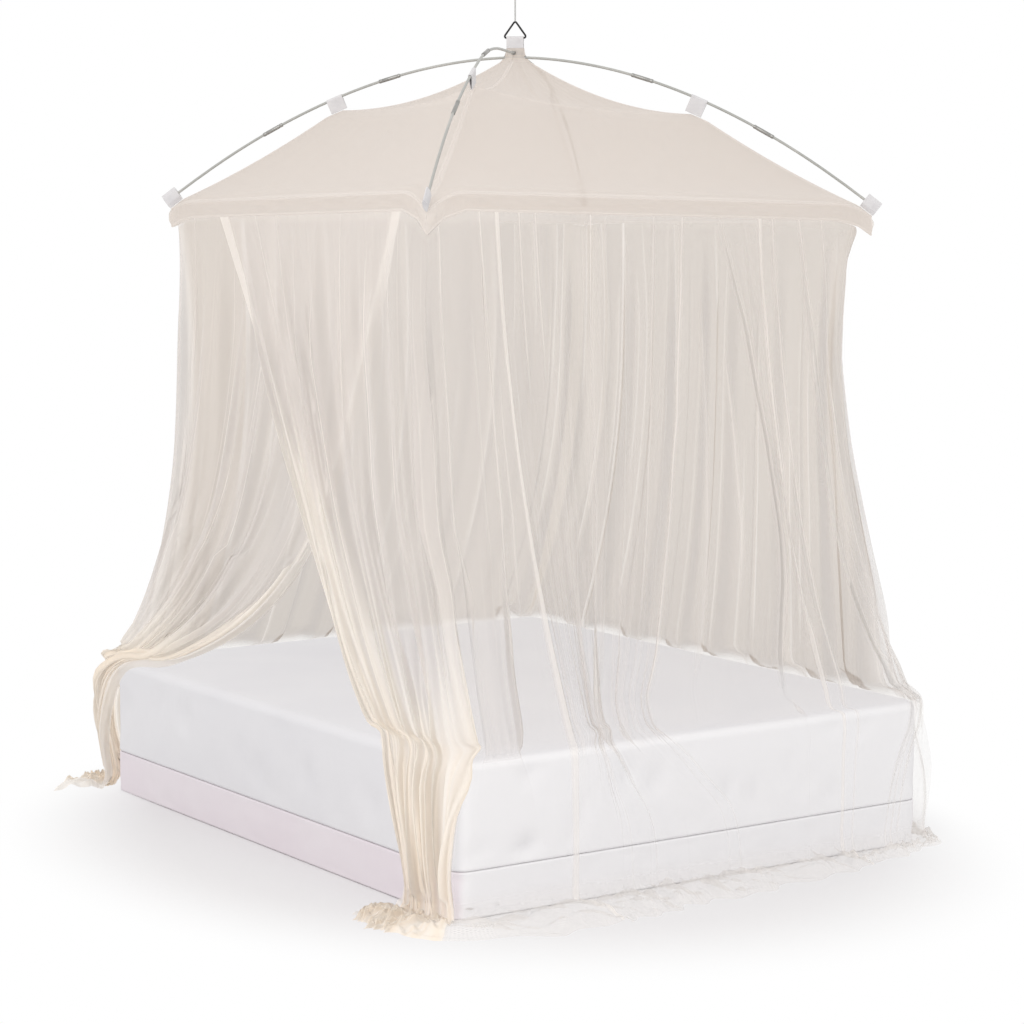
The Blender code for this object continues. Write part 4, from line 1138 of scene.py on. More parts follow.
@dataclass
class Curtain:
    """One width of net, from the valance over the mattress's edge to its hem on the floor.

    top, bed and floor give the same cloth's places along the valance, the bed's edge and the floor. early
    is the share of the sideways sweep made evenly on the way down. layer is +1 outside the neighbour at the
    entry, -1 inside it and 0 where the width is alone.
    """

    name: str
    folds: int
    late_power: float
    phase: float
    top: tuple[float, ...]
    bed: tuple[float, ...]
    floor: tuple[float, ...]
    early: tuple[float, ...]
    fullness: tuple[float, ...]
    layer: tuple[int, ...]
    seed: int
    lines: tuple[FoldLine, ...] = ()
    edge_bands: tuple[float, float] = (0.006, 0.006)
    columns: int = 400
    pleats: int = 34
    drops: tuple[float, ...] = (0.0, 0.05, 0.2, 0.55, 0.85, 0.97, 1.0, 1.0)
    crease_count: int = 18
    crease_width: float = 0.0026
    bunching: float = 1.0
    rope_stand: float = 0.034
    heap_drop: float = 0.30
    soft_reach: int = 26
    yarn: YarnCover = YarnCover()

    FALL_AT = ("place", "bulge", "reach", "crumple")
    FALL = ((0.00, 0.020, 0.190, 0.030), (0.12, 0.008, 0.262, 0.034), (0.50, 0.000, 0.215, 0.040),
            (0.76, 0.000, 0.165, 0.030), (0.95, 0.006, 0.070, 0.018), (1.00, 0.010, 0.080, 0.018),
            (1.15, 0.008, 0.200, 0.026), (1.50, 0.000, 0.222, 0.034), (1.90, 0.008, 0.160, 0.028),
            (2.00, 0.012, 0.120, 0.024), (2.30, 0.000, 0.240, 0.034), (2.70, 0.000, 0.262, 0.034),
            (2.90, 0.030, 0.200, 0.028), (2.94, 0.075, 0.180, 0.026), (2.98, 0.100, 0.180, 0.024),
            (3.01, 0.080, 0.180, 0.024), (3.05, 0.020, 0.180, 0.024),
            (3.80, 0.035, 0.190, 0.030), (3.92, 0.050, 0.215, 0.034), (4.00, 0.020, 0.190, 0.030))
    WALL_SHARES = (0.0, 0.02, 0.05, 0.10, 0.16, 0.22, 0.28, 0.34, 0.40, 0.46, 0.52, 0.58, 0.64, 0.70, 0.75,
                   0.80, 0.85, 0.89, 0.93, 0.965)
    HEAP_STEPS = ((0.10, 3), (0.30, 3), (0.50, 4), (0.72, 4), (0.90, 3), (1.0, 0))

    def spread(self, key: str, places: np.ndarray) -> np.ndarray:
        """Values of one of the width's lists at places along the valance."""
        return np.interp(places, self.top, getattr(self, key))

    def waves(self, places: np.ndarray) -> dict[str, np.ndarray]:
        """The main folds at places along the valance.

        Args:
            places: The columns' places.

        Returns:
            wave, from -1 in a trough to 1 on a crest; depth, beside the other folds; and cloth, the run of
            valance in the fold.
        """
        form = FORM
        first, last = self.top[0], self.top[-1]
        sizes = np.array([1 + 0.34 * math.sin(1.9 * k + self.phase) for k in range(self.folds)])
        edges = first + (last - first) * np.concatenate(([0.0], np.cumsum(sizes) / sizes.sum()))
        knots, wave, depth, cloth = [], [], [], []
        for k in range(self.folds):
            for part, side in ((0.0, -1), (0.24, -1), (0.50, 1), (0.76, 1)):
                knots.append(edges[k] + (edges[k + 1] - edges[k]) * part)
                wave.append(side)
                depth.append(0.80 + 0.28 * math.sin(2.7 * k + 2 * self.phase))
                cloth.append((edges[k + 1] - edges[k]) * form.wall_length(math.floor(knots[-1])))
        knots, wave, depth, cloth = knots + [last], wave + [-1], depth + [0.8], cloth + cloth[-1:]
        for corner in range(math.ceil(first), math.floor(last) + 1):
            nearest = min(range(1, len(knots) - 1), key=lambda i: abs(knots[i] - corner))
            knots[nearest] = float(corner)
        order = np.interp(places, knots, np.arange(len(knots)))
        low = np.minimum(order.astype(int), len(knots) - 2)
        part = order - low
        eased = part * part * (3 - 2 * part)
        wave = np.array(wave)
        return {"wave": wave[low] + (wave[low + 1] - wave[low]) * eased,
                "depth": np.interp(places, knots, depth), "cloth": np.interp(places, knots, cloth)}

    def plump(self, places: np.ndarray, squeeze: np.ndarray) -> np.ndarray:
        """How far gathered cloth stands off the bed's edge, by column: most in the middle of its rope.

        Args:
            places: The columns' places along the valance.
            squeeze: The columns' sideways squeeze.

        Returns:
            The distances.
        """
        across = (places - places[0]) / (places[-1] - places[0])
        ends = smooth_step(0.0, 0.10, across) * smooth_step(0.0, 0.10, 1 - across)
        return self.rope_stand * smooth_step(0.35, 0.85, 1 - squeeze) * ends

    def creases(self) -> list[Crease]:
        """The width's own creases, spread unevenly along the valance.

        Returns:
            The creases, from first to last.
        """
        chance = np.random.default_rng(self.seed + 40)
        first, last = self.top[0], self.top[-1]
        made = []
        for k in range(self.crease_count):
            place = first + (last - first) * (k + chance.uniform(0.1, 0.9)) / self.crease_count
            start = chance.uniform(-0.25, 0.45)
            end, strength = start + chance.uniform(0.35, 0.9), chance.uniform(0.3, 1.0) ** 1.5
            doubled = chance.choice((-1, 1)) * chance.uniform(0.010, 0.045)
            made.append(Crease(place, start, end, strength, doubled))
        return made

    def column_places(self) -> np.ndarray:
        """Places of the grid's columns along the valance, close together at fold lines and edges.

        Returns:
            The sorted places.
        """
        first, last = self.top[0] + 0.0001, self.top[-1] - 0.0001
        run = FORM.wall_length(math.floor(self.top[0]))
        beside_line, beside_crease = (-0.003, -0.0015, 0, 0.0015, 0.003), (-0.0025, 0, 0.0025)
        extra = [line.start + step / run for line in self.lines for step in beside_line]
        extra += [crease.place + step / run for crease in self.creases() for step in beside_crease]
        extra += [first + step / run for step in (0.002, 0.004)]
        extra += [last - step / run for step in (0.002, 0.004)]
        places = np.concatenate((np.linspace(first, last, self.columns - len(extra)), extra))
        return np.sort(np.clip(places, first, last))

    def drift(self, places: np.ndarray, share: float, swept: np.ndarray) -> np.ndarray:
        """How far the fold lines carry the columns sideways at a share of the drop.

        Args:
            places: The columns' places along the valance.
            share: The share of the drop.
            swept: The columns' places there without the lines.

        Returns:
            The shifts, none at the width's two edges.
        """
        ends = [(self.top[0], 0.0), (self.top[-1], 0.0)]
        for line in self.lines:
            shares, track = np.array(line.track).T
            there = float(np.interp(share, shares, track))
            ends.append((line.start, there - float(np.interp(line.start, places, swept))))
        ends.sort()
        return np.interp(places, *zip(*ends))

    def control_rows(self, places: np.ndarray) -> tuple[np.ndarray, np.ndarray, list[int], dict]:
        """The width's main form, without its fine pleats.

        Args:
            places: The columns' places along the valance.

        Returns:
            Rows of points, the outward normals there, the steps to cut between them, and each point's
            squeeze, room for pleats, and side that its folds stand out on.
        """
        form, kit = FORM, self.waves(places)
        bed, floor = self.spread("bed", places), self.spread("floor", places)
        early, fullness, layer = (self.spread(key, places) for key in ("early", "fullness", "layer"))
        walls = np.minimum(np.floor(places).astype(int), math.ceil(self.top[-1]) - 1)
        tops = np.zeros_like(places)
        for wall in np.unique(walls):
            mine = walls == wall
            tops[mine] = form.valance_foot(int(wall), places[mine] - wall) - form.gap
        step = np.gradient(places)
        rows, normals, squeezes, rooms, side_rows = [], [], [], [], []

        def swept(share: float) -> np.ndarray:
            """The columns' places at a share of the drop, without the fold lines."""
            return places + (bed - places) * (early * share + (1 - early) * share**self.late_power)

        def depth_of(squeeze: np.ndarray) -> np.ndarray:
            """Depth of the main folds.

            Args:
                squeeze: The columns' sideways squeeze.

            Returns:
                The depths, none at the width's two edges.
            """
            depth = 0.5 * kit["depth"] * kit["cloth"] * np.sqrt(np.maximum(fullness**2 - squeeze**2, 0.0))
            ends = smooth_step(0.0, 0.004, places - places[0]) * smooth_step(0.0, 0.004, places[-1] - places)
            return np.minimum(depth, (0.024 + 0.008 * np.clip(squeeze, 0, 1)) * kit["depth"]) * ends

        for share in self.WALL_SHARES:
            base = swept(share)
            here = base + self.drift(places, share, base)
            squeeze = np.gradient(here) / step
            fold = depth_of(squeeze) * min(1.0, 0.06 + share / 0.25)
            side = np.where(layer < 0, layer + (1 - layer) * max(0.0, share - 0.62) * 4, layer)
            side = np.minimum(side, 1.0)
            off = layer * (0.0011 + 0.0029 * min(1.0, share / 0.08))
            heights = tops + (form.lay_height - tops) * share
            found = [form.wall_point(place, height) for place, height in zip(here, heights)]
            plan, normal = np.array([f[0] for f in found]), np.array([f[1] for f in found])
            plump = self.plump(places, squeeze) * smooth_step(0.66, 1.0, share)
            out = fold * (kit["wave"] + side) / 2 + off + plump
            rows.append(np.column_stack((plan + normal * out[:, None], heights)))
            normals.append(np.column_stack((normal, np.zeros(len(places)))))
            squeezes.append(squeeze)
            rooms.append(np.full(len(places), min(1.0, 0.15 + share / 0.3)))
            side_rows.append(side)
        steps = [1] * 2 + [2] * (len(self.WALL_SHARES) - 3) + [3]

        fall = dict(zip(self.FALL_AT, np.array(self.FALL).T))
        last_drift = self.drift(places, 1.0, bed)
        falls = [np.interp((bed % 4), fall["place"], fall[key]) for key in self.FALL_AT[1:]]
        fold = depth_of(np.gradient(bed) / step) * (kit["wave"] + 1) / 2
        uneven = 0.5 * np.sin(10.6 * places + self.phase) + 0.5 * np.sin(23.0 * places)
        run_out = np.maximum(falls[1] - falls[0], fold + 0.05) + 0.012 * uneven
        wander = ripples(places * 11, np.zeros_like(places), self.seed + 5)
        run_out = run_out * (1 + 0.10 * wander)
        side = 0.0011 + falls[0]
        kinds = ("lay", "bend", "edge", 0.30, 0.21, 0.12, 0.05, "floor")
        lower = [(kind, drop, 3) for kind, drop in zip(kinds, self.drops)]
        lower += [("heap", value, count) for value, count in self.HEAP_STEPS]
        for kind, value, count in lower:
            drop = 1.0 if kind == "heap" else value
            here = bed + (floor - bed) * drop + last_drift * (1 - 0.75 * drop)
            squeeze = np.gradient(here) / step
            plump = self.plump(places, squeeze)
            roped = plump / self.rope_stand
            if kind == "lay":
                out, high, pleat = -form.edge_radius, form.lay_height + 0.8 * plump, fold + plump
            elif kind == "bend":
                arm = (form.edge_radius + form.hang_clear + 0.0035) * math.sqrt(0.5)
                out, pleat = arm - form.edge_radius, fold * math.sqrt(0.5) + 0.6 * plump
                high = form.bed_top - form.edge_radius + arm + 0.35 * plump
            elif kind == "edge":
                out, pleat, high = form.hang_clear, fold + 0.65 * plump, form.bed_top - form.edge_radius
            elif kind == "floor":
                out, pleat, high = side + 0.004, 0.7 * fold + 0.004, 0.012
            elif kind == "heap":
                heave = falls[2] * math.sin(math.pi * min(value, 0.92)) ** 0.8
                heave = heave * (0.62 + 0.25 * kit["wave"] + 0.2 * uneven)
                out, pleat = side + 0.004, value * run_out + (1 - value) * (0.7 * fold + 0.004)
                high = 0.0016 + np.maximum(heave, 0.0) * (1.0 if value < 1 else 0.0)
            else:
                bulge = math.sin(math.pi * (0.42 - kind) / 0.42) if kind < 0.4 else 0.0
                out, high = side * (0.4 + 0.6 * bulge) + 0.0006, kind
                pleat = fold * (0.8 + 0.2 * bulge) + 0.65 * plump * (kind / 0.4)
            outs = np.broadcast_to(out, places.shape)
            found = [form.bed_point(place, float(o)) for place, o in zip(here, outs)]
            plan, normal = np.array([f[0] for f in found]), np.array([f[1] for f in found])
            spot = np.column_stack((plan + normal * np.broadcast_to(pleat, places.shape)[:, None],
                                    np.broadcast_to(high, places.shape)))
            if kind in ("lay", "bend"):
                spot[:, 2] += fold * (1.0 if kind == "lay" else math.sqrt(0.5)) * (1 - 0.7 * roped)
            rows.append(spot)
            normals.append(np.column_stack((normal, np.full(len(places), 0.0))))
            squeezes.append(squeeze)
            rooms.append(np.full(len(places), 1.0 if kind != "heap" or value < 0.9 else 0.35))
            side_rows.append(np.ones(len(places)))
            steps.append(count)
        grids = {"squeeze": np.array(squeezes), "room": np.array(rooms), "side": np.array(side_rows)}
        return np.array(rows), np.array(normals), steps[:len(rows) - 1], grids

    def fine_pleats(self, places: np.ndarray, down: np.ndarray, squeeze: np.ndarray,
                    fullness: np.ndarray) -> tuple[np.ndarray, np.ndarray]:
        """Fine pleats and their crests.

        Args:
            places: The columns' places along the valance.
            down: Metres of cloth from the valance, by row.
            squeeze: Sideways squeeze of each point.
            fullness: Cloth per run of valance, by column.

        Returns:
            How deep each point's pleat is, in metres, and its wave between 0 and 1.
        """
        chance = np.random.default_rng(self.seed)
        across = (places - places[0]) / (places[-1] - places[0])
        bends = chance.uniform(0.3, 1.8, self.pleats)
        edges = np.concatenate(([0.0], np.cumsum(bends) / bends.sum()))
        order = np.interp(across, edges, np.arange(self.pleats + 1))
        sway = 0.35 * ripples(across[None, :] * 5, down[:, None] * 0.9, self.seed + 1)
        wave = 0.5 - 0.5 * np.cos(2 * math.pi * (order[None, :] + sway))
        uneven = ripples(across[None, :] * 9, down[:, None] * 0.7, self.seed + 2)
        strength = np.clip(0.55 + 0.6 * uneven, 0.1, 1.4)
        cloth = np.gradient(places) / np.gradient(order) * FORM.wall_length(0)
        slack = np.sqrt(np.maximum(fullness[None, :] ** 2 * 1.01 - np.clip(squeeze, 0, 1.2) ** 2, 0.0))
        depth = 0.5 * cloth[None, :] * slack * (0.25 + 0.75 * smooth_step(0.4, 0.95, slack)) * strength
        return np.minimum(depth, 0.019 * strength), wave

    def edge_shares(self, run: np.ndarray) -> np.ndarray:
        """How far each column lies in the broad band of a free edge, from 0 to 1.

        Args:
            run: Metres across the cloth, by column.

        Returns:
            The shares.
        """
        first, last = self.edge_bands
        return np.maximum(1 - smooth_step(first * 0.85, first * 1.1, run),
                          1 - smooth_step(last * 0.85, last * 1.1, run[-1] - run))

    def marks(self, places: np.ndarray, drop: np.ndarray) -> tuple[np.ndarray, np.ndarray, np.ndarray]:
        """The fold lines and creases on the width.

        Args:
            places: The columns' places along the valance.
            drop: Each row's share of the drop to the bed.

        Returns:
            How far they stand out in metres, how bright they are, and how much cloth is doubled there.
        """
        ridge, bright, doubled = np.zeros((3, drop.size, places.size))
        for line in self.lines:
            away = (places - line.start) * FORM.wall_length(math.floor(line.start)) / line.width
            last = line.track[-1][0]
            fade = 1 - smooth_step(last, last + 0.12, drop)
            ridge += np.outer(fade, np.exp(-away**2)) * line.ridge * line.strength
            bright += np.outer(fade, np.exp(-(away * 1.1) ** 2)) * line.strength
        for crease in self.creases():
            away = (places - crease.place) * FORM.wall_length(math.floor(crease.place))
            fade = (smooth_step(crease.start, crease.start + 0.15, drop)
                    * (1 - smooth_step(crease.end, crease.end + 0.15, drop)))
            line = np.outer(fade, np.exp(-(away / self.crease_width) ** 2)) * crease.strength
            ridge, bright = ridge + crease.ridge * line, bright + 0.8 * line
            beside = np.clip(1 - away / crease.doubled, 0, 1) * (away * crease.doubled > 0)
            doubled += np.outer(fade, beside) * crease.strength
        return ridge, bright, doubled

    def rest_on_floor(self, points: np.ndarray, run: np.ndarray, down: np.ndarray, heap: np.ndarray) -> None:
        """Crumples the cloth that lies on the floor and keeps all of it above the floor.

        Args:
            points: The width's points, which are changed.
            run: Metres across the cloth, by column.
            down: Metres down the cloth, by row.
            heap: 1 at each point that may lie on the floor.
        """
        crumple = ripples(run[None, :] / 0.055, down[:, None] / 0.045, self.seed + 3)
        fine = ripples(run[None, :] / 0.022, down[:, None] / 0.02, self.seed + 4)
        rim = np.minimum(1.0, (down[-1] - down) / 0.02)[:, None]
        points[..., 2] += heap * rim * (0.010 * np.maximum(crumple, -0.4) + 0.0012 * fine)
        points[..., 2] = np.maximum(points[..., 2], 0.0012)

    def yarn_attributes(self, points: np.ndarray, places: np.ndarray, cloth: tuple[np.ndarray, np.ndarray],
                        grids: dict[str, np.ndarray]) -> dict[str, np.ndarray]:
        """What the net's material reads at each point.

        Args:
            points: The width's points.
            places: The columns' places along the valance.
            cloth: Metres across the cloth by column and down it by row.
            grids: Each point's squeeze, pleat wave, bright lines and doubled cloth.

        Returns:
            The cover, fold, shaded and crease attributes.
        """
        yarn, (run, down), squeeze, wave = self.yarn, cloth, grids["squeeze"], grids["wave"]
        fullness = self.spread("fullness", places)
        spacing = np.gradient(places) * FORM.wall_length(math.floor(self.top[0])) * fullness
        drawn = np.linalg.norm(np.gradient(points, axis=1), axis=2)
        gathered = smooth_step(0.15, 0.75, 1 - squeeze) * self.bunching
        piled = yarn.crowding * self.bunching * fullness[None, :] / np.maximum(squeeze, 0.07)
        most = yarn.loose_layers + yarn.most_layers * self.bunching
        crowded = np.maximum(spacing[None, :] / np.maximum(drawn, 1e-5), piled)
        layers = np.clip(crowded, yarn.fewest_layers, most)
        layers = layers * (1 + 0.35 * wave * gathered) + 0.8 * grids["doubled"] * (1 - 0.6 * gathered)
        around = (places[None, :] + np.zeros_like(squeeze)) % 4
        shaded = smooth_step(0.94, 1.04, around) * (1 - smooth_step(2.96, 3.04, around))
        tight = smooth_step(0.46, 0.40, points[..., 2]) * (1 - gathered)
        base = (yarn.near + yarn.far * shaded) * (1 - yarn.tight * tight)
        cover = 1 - (1 - base) ** layers
        band = self.edge_shares(run)[None, :]
        hem = 1 - smooth_step(0.006, 0.012, down[:, None])
        heaped = smooth_step(0.08, 0.02, points[..., 2]) * (down > down[-1] - self.heap_drop)[:, None]
        for part, share in ((band, yarn.band), (grids["bright"], yarn.bright), (hem, yarn.hem),
                            (heaped, yarn.heaped)):
            cover = cover + (yarn.full - cover) * np.minimum(part, 1.0) * share
        low = smooth_step(0.75, 0.35, points[..., 2]) * gathered
        # Painted shade: fold is highest in the troughs of the pleats, lower down in gathered cloth and where
        # cloth is heaped on the floor.
        fold = gathered * ((1 - wave) * (0.10 + 0.45 * low) + 0.15 * low) + 0.3 * heaped
        crease = np.maximum(grids["bright"] * (1 - 0.5 * gathered), np.maximum(tight, band) * 0.8)
        return {"cover": np.clip(cover, 0, yarn.most), "fold": np.clip(fold, 0, 1), "shaded": shaded,
                "crease": np.clip(crease, 0, 1)}

    def build(self, wardrobe: Wardrobe) -> bpy.types.Object:
        """Makes the width and puts it in its node's place.

        Args:
            wardrobe: Dresses the piece.

        Returns:
            The piece.
        """
        places = self.column_places()
        rows, normals, steps, grids = self.control_rows(places)
        points, outward = subdivided(rows, steps), unit(subdivided(normals, steps))
        squeeze, room, side = (subdivided(grids[key][..., None], steps)[..., 0]
                               for key in ("squeeze", "room", "side"))
        lengths = np.linalg.norm(np.diff(points, axis=0), axis=2)
        down = np.concatenate(([0.0], np.cumsum(lengths.mean(axis=1))))
        fullness = self.spread("fullness", places)
        run = (places - places[0]) * FORM.wall_length(math.floor(self.top[0]))
        depth, wave = self.fine_pleats(places, down, squeeze, fullness)
        near_edge = np.maximum(*(np.exp(-(away / 0.10) ** 2) * (band > 0.02)
                                 for away, band in zip((run, run[-1] - run), self.edge_bands)))
        depth = depth * (1 - 0.45 * near_edge)
        edge_free = smooth_step(0.0, 0.012, run) * smooth_step(0.0, 0.012, run[-1] - run)
        surface = unit(np.cross(np.gradient(points, axis=0), np.gradient(points, axis=1)))
        flip = np.sign((surface * outward).sum(axis=2, keepdims=True) + 0.2)
        surface = unit(surface * flip + 0.6 * outward)
        signs = np.where(side < -0.3, -1.0, 1.0)
        soft = unit(blurred(surface, self.soft_reach) + 0.35 * outward)
        moved = depth * wave * room * edge_free[None, :] * signs
        drop = np.clip(down / (FORM.wall_top - FORM.lay_height), 0, 1)
        ridge, bright, doubled = self.marks(places, drop)
        moved = moved + ridge
        heap = np.where(points[..., 2] < 0.06, 1.0, 0.0) * (down > down[-1] - self.heap_drop)[:, None]
        moved = moved * (1 - 0.75 * heap)
        points = points + surface * moved[..., None]
        self.rest_on_floor(points, run, down, heap)

        spacing = np.gradient(places) * FORM.wall_length(math.floor(self.top[0])) * fullness
        grids = {"squeeze": squeeze, "wave": wave, "bright": bright, "doubled": doubled}
        flat = np.zeros((*points.shape[:2], 2))
        flat[..., 0] = self.seed * 10 + np.cumsum(spacing)[None, :]
        flat[..., 1] = down[:, None]
        piece = cloth_piece(f"net_{self.name}", points, flat,
                            self.yarn_attributes(points, places, (run, down), grids) | {"soft": soft})
        piece.visible_shadow = piece.visible_diffuse = False
        wardrobe.dress(piece, Slot.NET, f"curtain_{self.name}")
        return piece


CURTAINS = (
    Curtain("foot_left", 9, 3.6, 0.4, (3.197, 3.230, 3.30, 3.45, 3.75, 4.0, 4.147),
            (3.800, 3.828, 3.848, 3.882, 3.955, 4.016, 4.238),
            (3.875, 3.893, 3.901, 3.917, 3.955, 4.0, 4.238),
            (1.0, 0.96, 0.87, 0.68, 0.35, 1.0, 1.0), (1.00, 1.00, 1.03, 1.06, 1.10, 1.12, 1.10),
            (1, 1, 1, 1, 1, 1, 0), 11,
            (FoldLine(((0.0, 4.022), (0.15, 4.024), (0.38, 4.037), (0.57, 4.0385), (0.69, 4.052)), 0.7),
             FoldLine(((0.0, 4.108), (0.07, 4.112), (0.34, 4.135), (0.57, 4.143), (0.71, 4.128),
                       (0.86, 4.120)), 0.8)),
            (0.052, 0.006), drops=(0.0, 0.10, 0.35, 0.80, 1.05, 1.15, 1.05, 1.0)),
    Curtain("foot", 6, 4.0, 1.9, (0.147, 0.736), (0.238, 0.8125), (0.238, 0.8125), (1.0, 1.0), (1.07, 1.05),
            (0, 0), 12,
            (FoldLine(((0.0, 0.350), (0.16, 0.351), (0.39, 0.354), (0.59, 0.346), (0.76, 0.322), (0.86, 0.304),
                       (0.93, 0.290)), 1.0),
             FoldLine(((0.0, 0.556), (0.16, 0.553), (0.40, 0.538), (0.60, 0.506), (0.72, 0.477), (0.86, 0.437),
                       (0.93, 0.404)), 0.9),
             FoldLine(((0.0, 0.640), (0.23, 0.704), (0.45, 0.743), (0.62, 0.759), (0.73, 0.753),
                       (0.90, 0.711)), 0.6)),
            bunching=0.1),
    Curtain("foot_right", 8, 4.0, 0.9, (0.736, 1.0, 1.84), (0.8125, 1.0, 1.84), (0.8125, 1.0, 1.84),
            (1.0, 1.0, 1.0), (1.06, 1.10, 1.06), (0, 0, 0), 13,
            (FoldLine(((0.0, 0.765), (0.23, 0.785), (0.46, 0.803), (0.62, 0.813), (0.81, 0.827),
                       (0.95, 0.846)), 0.9),
             FoldLine(((0.0, 0.826), (0.27, 0.863), (0.46, 0.882), (0.63, 0.889), (0.77, 0.911), (0.87, 0.936),
                       (0.95, 0.965)), 0.9),
             FoldLine(((0.0, 0.880), (0.38, 0.925), (0.60, 0.942), (0.78, 0.962), (0.95, 0.985)), 0.7)),
            bunching=0.1),
    Curtain("head_right", 7, 4.0, 2.6, (1.84, 2.0, 2.848), (1.84, 2.0, 2.83), (1.84, 2.0, 2.83),
            (1.0, 1.0, 1.0), (1.06, 1.10, 1.06), (0, 0, 0), 14, bunching=0.1),
    Curtain("head_left", 8, 6.5, 3.3, (2.848, 3.0, 3.25, 3.80, 3.870, 3.903),
            (2.83, 2.935, 3.008, 3.085, 3.097, 3.120), (2.82, 2.912, 2.952, 2.990, 2.997, 3.010),
            (1.0, 0.85, 0.65, 0.52, 0.56, 0.58), (1.06, 1.08, 1.06, 1.02, 1.00, 1.00),
            (0, 0, -1, -1, -1, -1), 15, (), (0.006, 0.052),
            drops=(0.0, 0.30, 0.62, 0.80, 0.92, 1.0, 1.0, 1.0)),
)


@dataclass
class PeakNeck:
    """The doubled net at the roof's peak, drawn up from four gores to the flat webbing loop."""

    columns: int = 73
    channel_height: float = 2.344
    channel_half: float = 0.0045

    STATIONS = ((2.3312, 0.0462, 0.0462, 0.72), (2.3368, 0.0405, 0.0385, 0.74),
                (2.3440, 0.0360, 0.0310, 0.78), (2.3520, 0.0318, 0.0220, 0.85),
                (2.3600, 0.0290, 0.0140, 0.95), (2.3680, 0.0278, 0.0092, 1.08),
                (2.3721, 0.0276, 0.0080, 1.12))

    def build(self, wardrobe: Wardrobe) -> bpy.types.Object:
        """Makes the neck and puts it in its node's place.

        Args:
            wardrobe: Dresses the piece.

        Returns:
            The piece.
        """
        along, across = (np.append(FORM.corner(corner) / FORM.diagonal, 0.0) for corner in (1, 2))
        turns = np.linspace(0, 2 * math.pi, self.columns)
        u, v = np.cos(turns), np.sin(turns)
        diamond = 1 / np.maximum(np.abs(u) + np.abs(v), 1e-9)
        rows = subdivided(np.array(self.STATIONS)[:, None, :], [4] * (len(self.STATIONS) - 1))[:, 0]
        points = np.zeros((len(rows), self.columns, 3))
        for r, (height, half_along, half_across, pull) in enumerate(rows[::-1]):
            bulge = smooth_step(0.70, 1.12, np.array(pull))
            reach = diamond * (1 - bulge) + bulge
            points[r] = ((half_along * reach * u)[:, None] * along
                         + (half_across * reach * v)[:, None] * across + np.array([*FORM.centre, height]))
        lift = 0.0006 * ripples(turns * 4 / math.pi, np.arange(len(rows))[:, None] / 9, 90)
        lift[:, -1] = lift[:, 0]
        points[..., :2] += lift[..., None] * np.stack((u, v), axis=-1)
        from_middle = np.abs(points[..., 2] - self.channel_height)
        channel = np.exp(-((from_middle - self.channel_half) / 0.0011) ** 2)
        flat = np.zeros((*points.shape[:2], 2))
        flat[..., 0] = 90 + turns * 0.04
        flat[..., 1] = (rows[0, 0] - points[..., 2]) + 0.05
        cover = np.minimum(0.93 + 0.04 * channel, 0.97)
        piece = cloth_piece("peak_neck", points, flat, {"cover": cover, "shaded": np.full_like(cover, 0.45),
                                                        "fold": 0.5 * channel})
        wardrobe.dress(piece, Slot.NET, "peak_collar", finish=TAUT_NET)
        return piece


def tube(name: str, points: list[np.ndarray], radius: float, resolution: int = 5) -> bpy.types.Object:
    """A round bar or cord along a list of points.

    Args:
        name: The piece's name.
        points: Its centreline.
        radius: Its radius.
        resolution: The curve's bevel resolution.

    Returns:
        The piece, a curve of one spline.
    """
    curve = bpy.data.curves.new(name, "CURVE")
    curve.dimensions = "3D"
    curve.bevel_depth = radius
    curve.bevel_resolution = resolution
    curve.use_fill_caps = True
    spline = curve.splines.new("POLY")
    spline.points.add(len(points) - 1)
    spline.use_smooth = True
    for target, point in zip(spline.points, points):
        target.co = (*point, 1.0)
    return link(name, curve)


def turned(profile: list[tuple[float, float]], segments: int = 24) -> bmesh.types.BMesh:
    """A ring spun round the Z axis from a closed profile.

    Args:
        profile: Radius and height pairs.
        segments: Steps of the spin.

    Returns:
        The spun bmesh.
    """
    bm = bmesh.new()
    verts = [bm.verts.new((radius, 0.0, height)) for radius, height in profile]
    edges = [bm.edges.new(pair) for pair in zip(verts, verts[1:] + verts[:1])]
    bmesh.ops.spin(bm, geom=verts + edges, cent=(0, 0, 0), axis=(0, 0, 1), angle=2 * math.pi,
                   steps=segments, use_merge=True)
    bmesh.ops.remove_doubles(bm, verts=bm.verts, dist=1e-6)
    bmesh.ops.recalc_face_normals(bm, faces=bm.faces)
    return bm


def frame_of(origin: np.ndarray, x_axis: np.ndarray, y_axis: np.ndarray, z_axis: np.ndarray) -> Matrix:
    """The matrix of a local frame given by its origin and axes.

    Args:
        origin: Where the frame is.
        x_axis: Unit vector of its x axis.
        y_axis: Unit vector of its y axis.
        z_axis: Unit vector of its z axis.

    Returns:
        The matrix.
    """
    matrix = Matrix.Identity(4)
    for column, axis in enumerate((x_axis, y_axis, z_axis, origin)):
        for line in range(3):
            matrix[line][column] = float(axis[line])
    return matrix


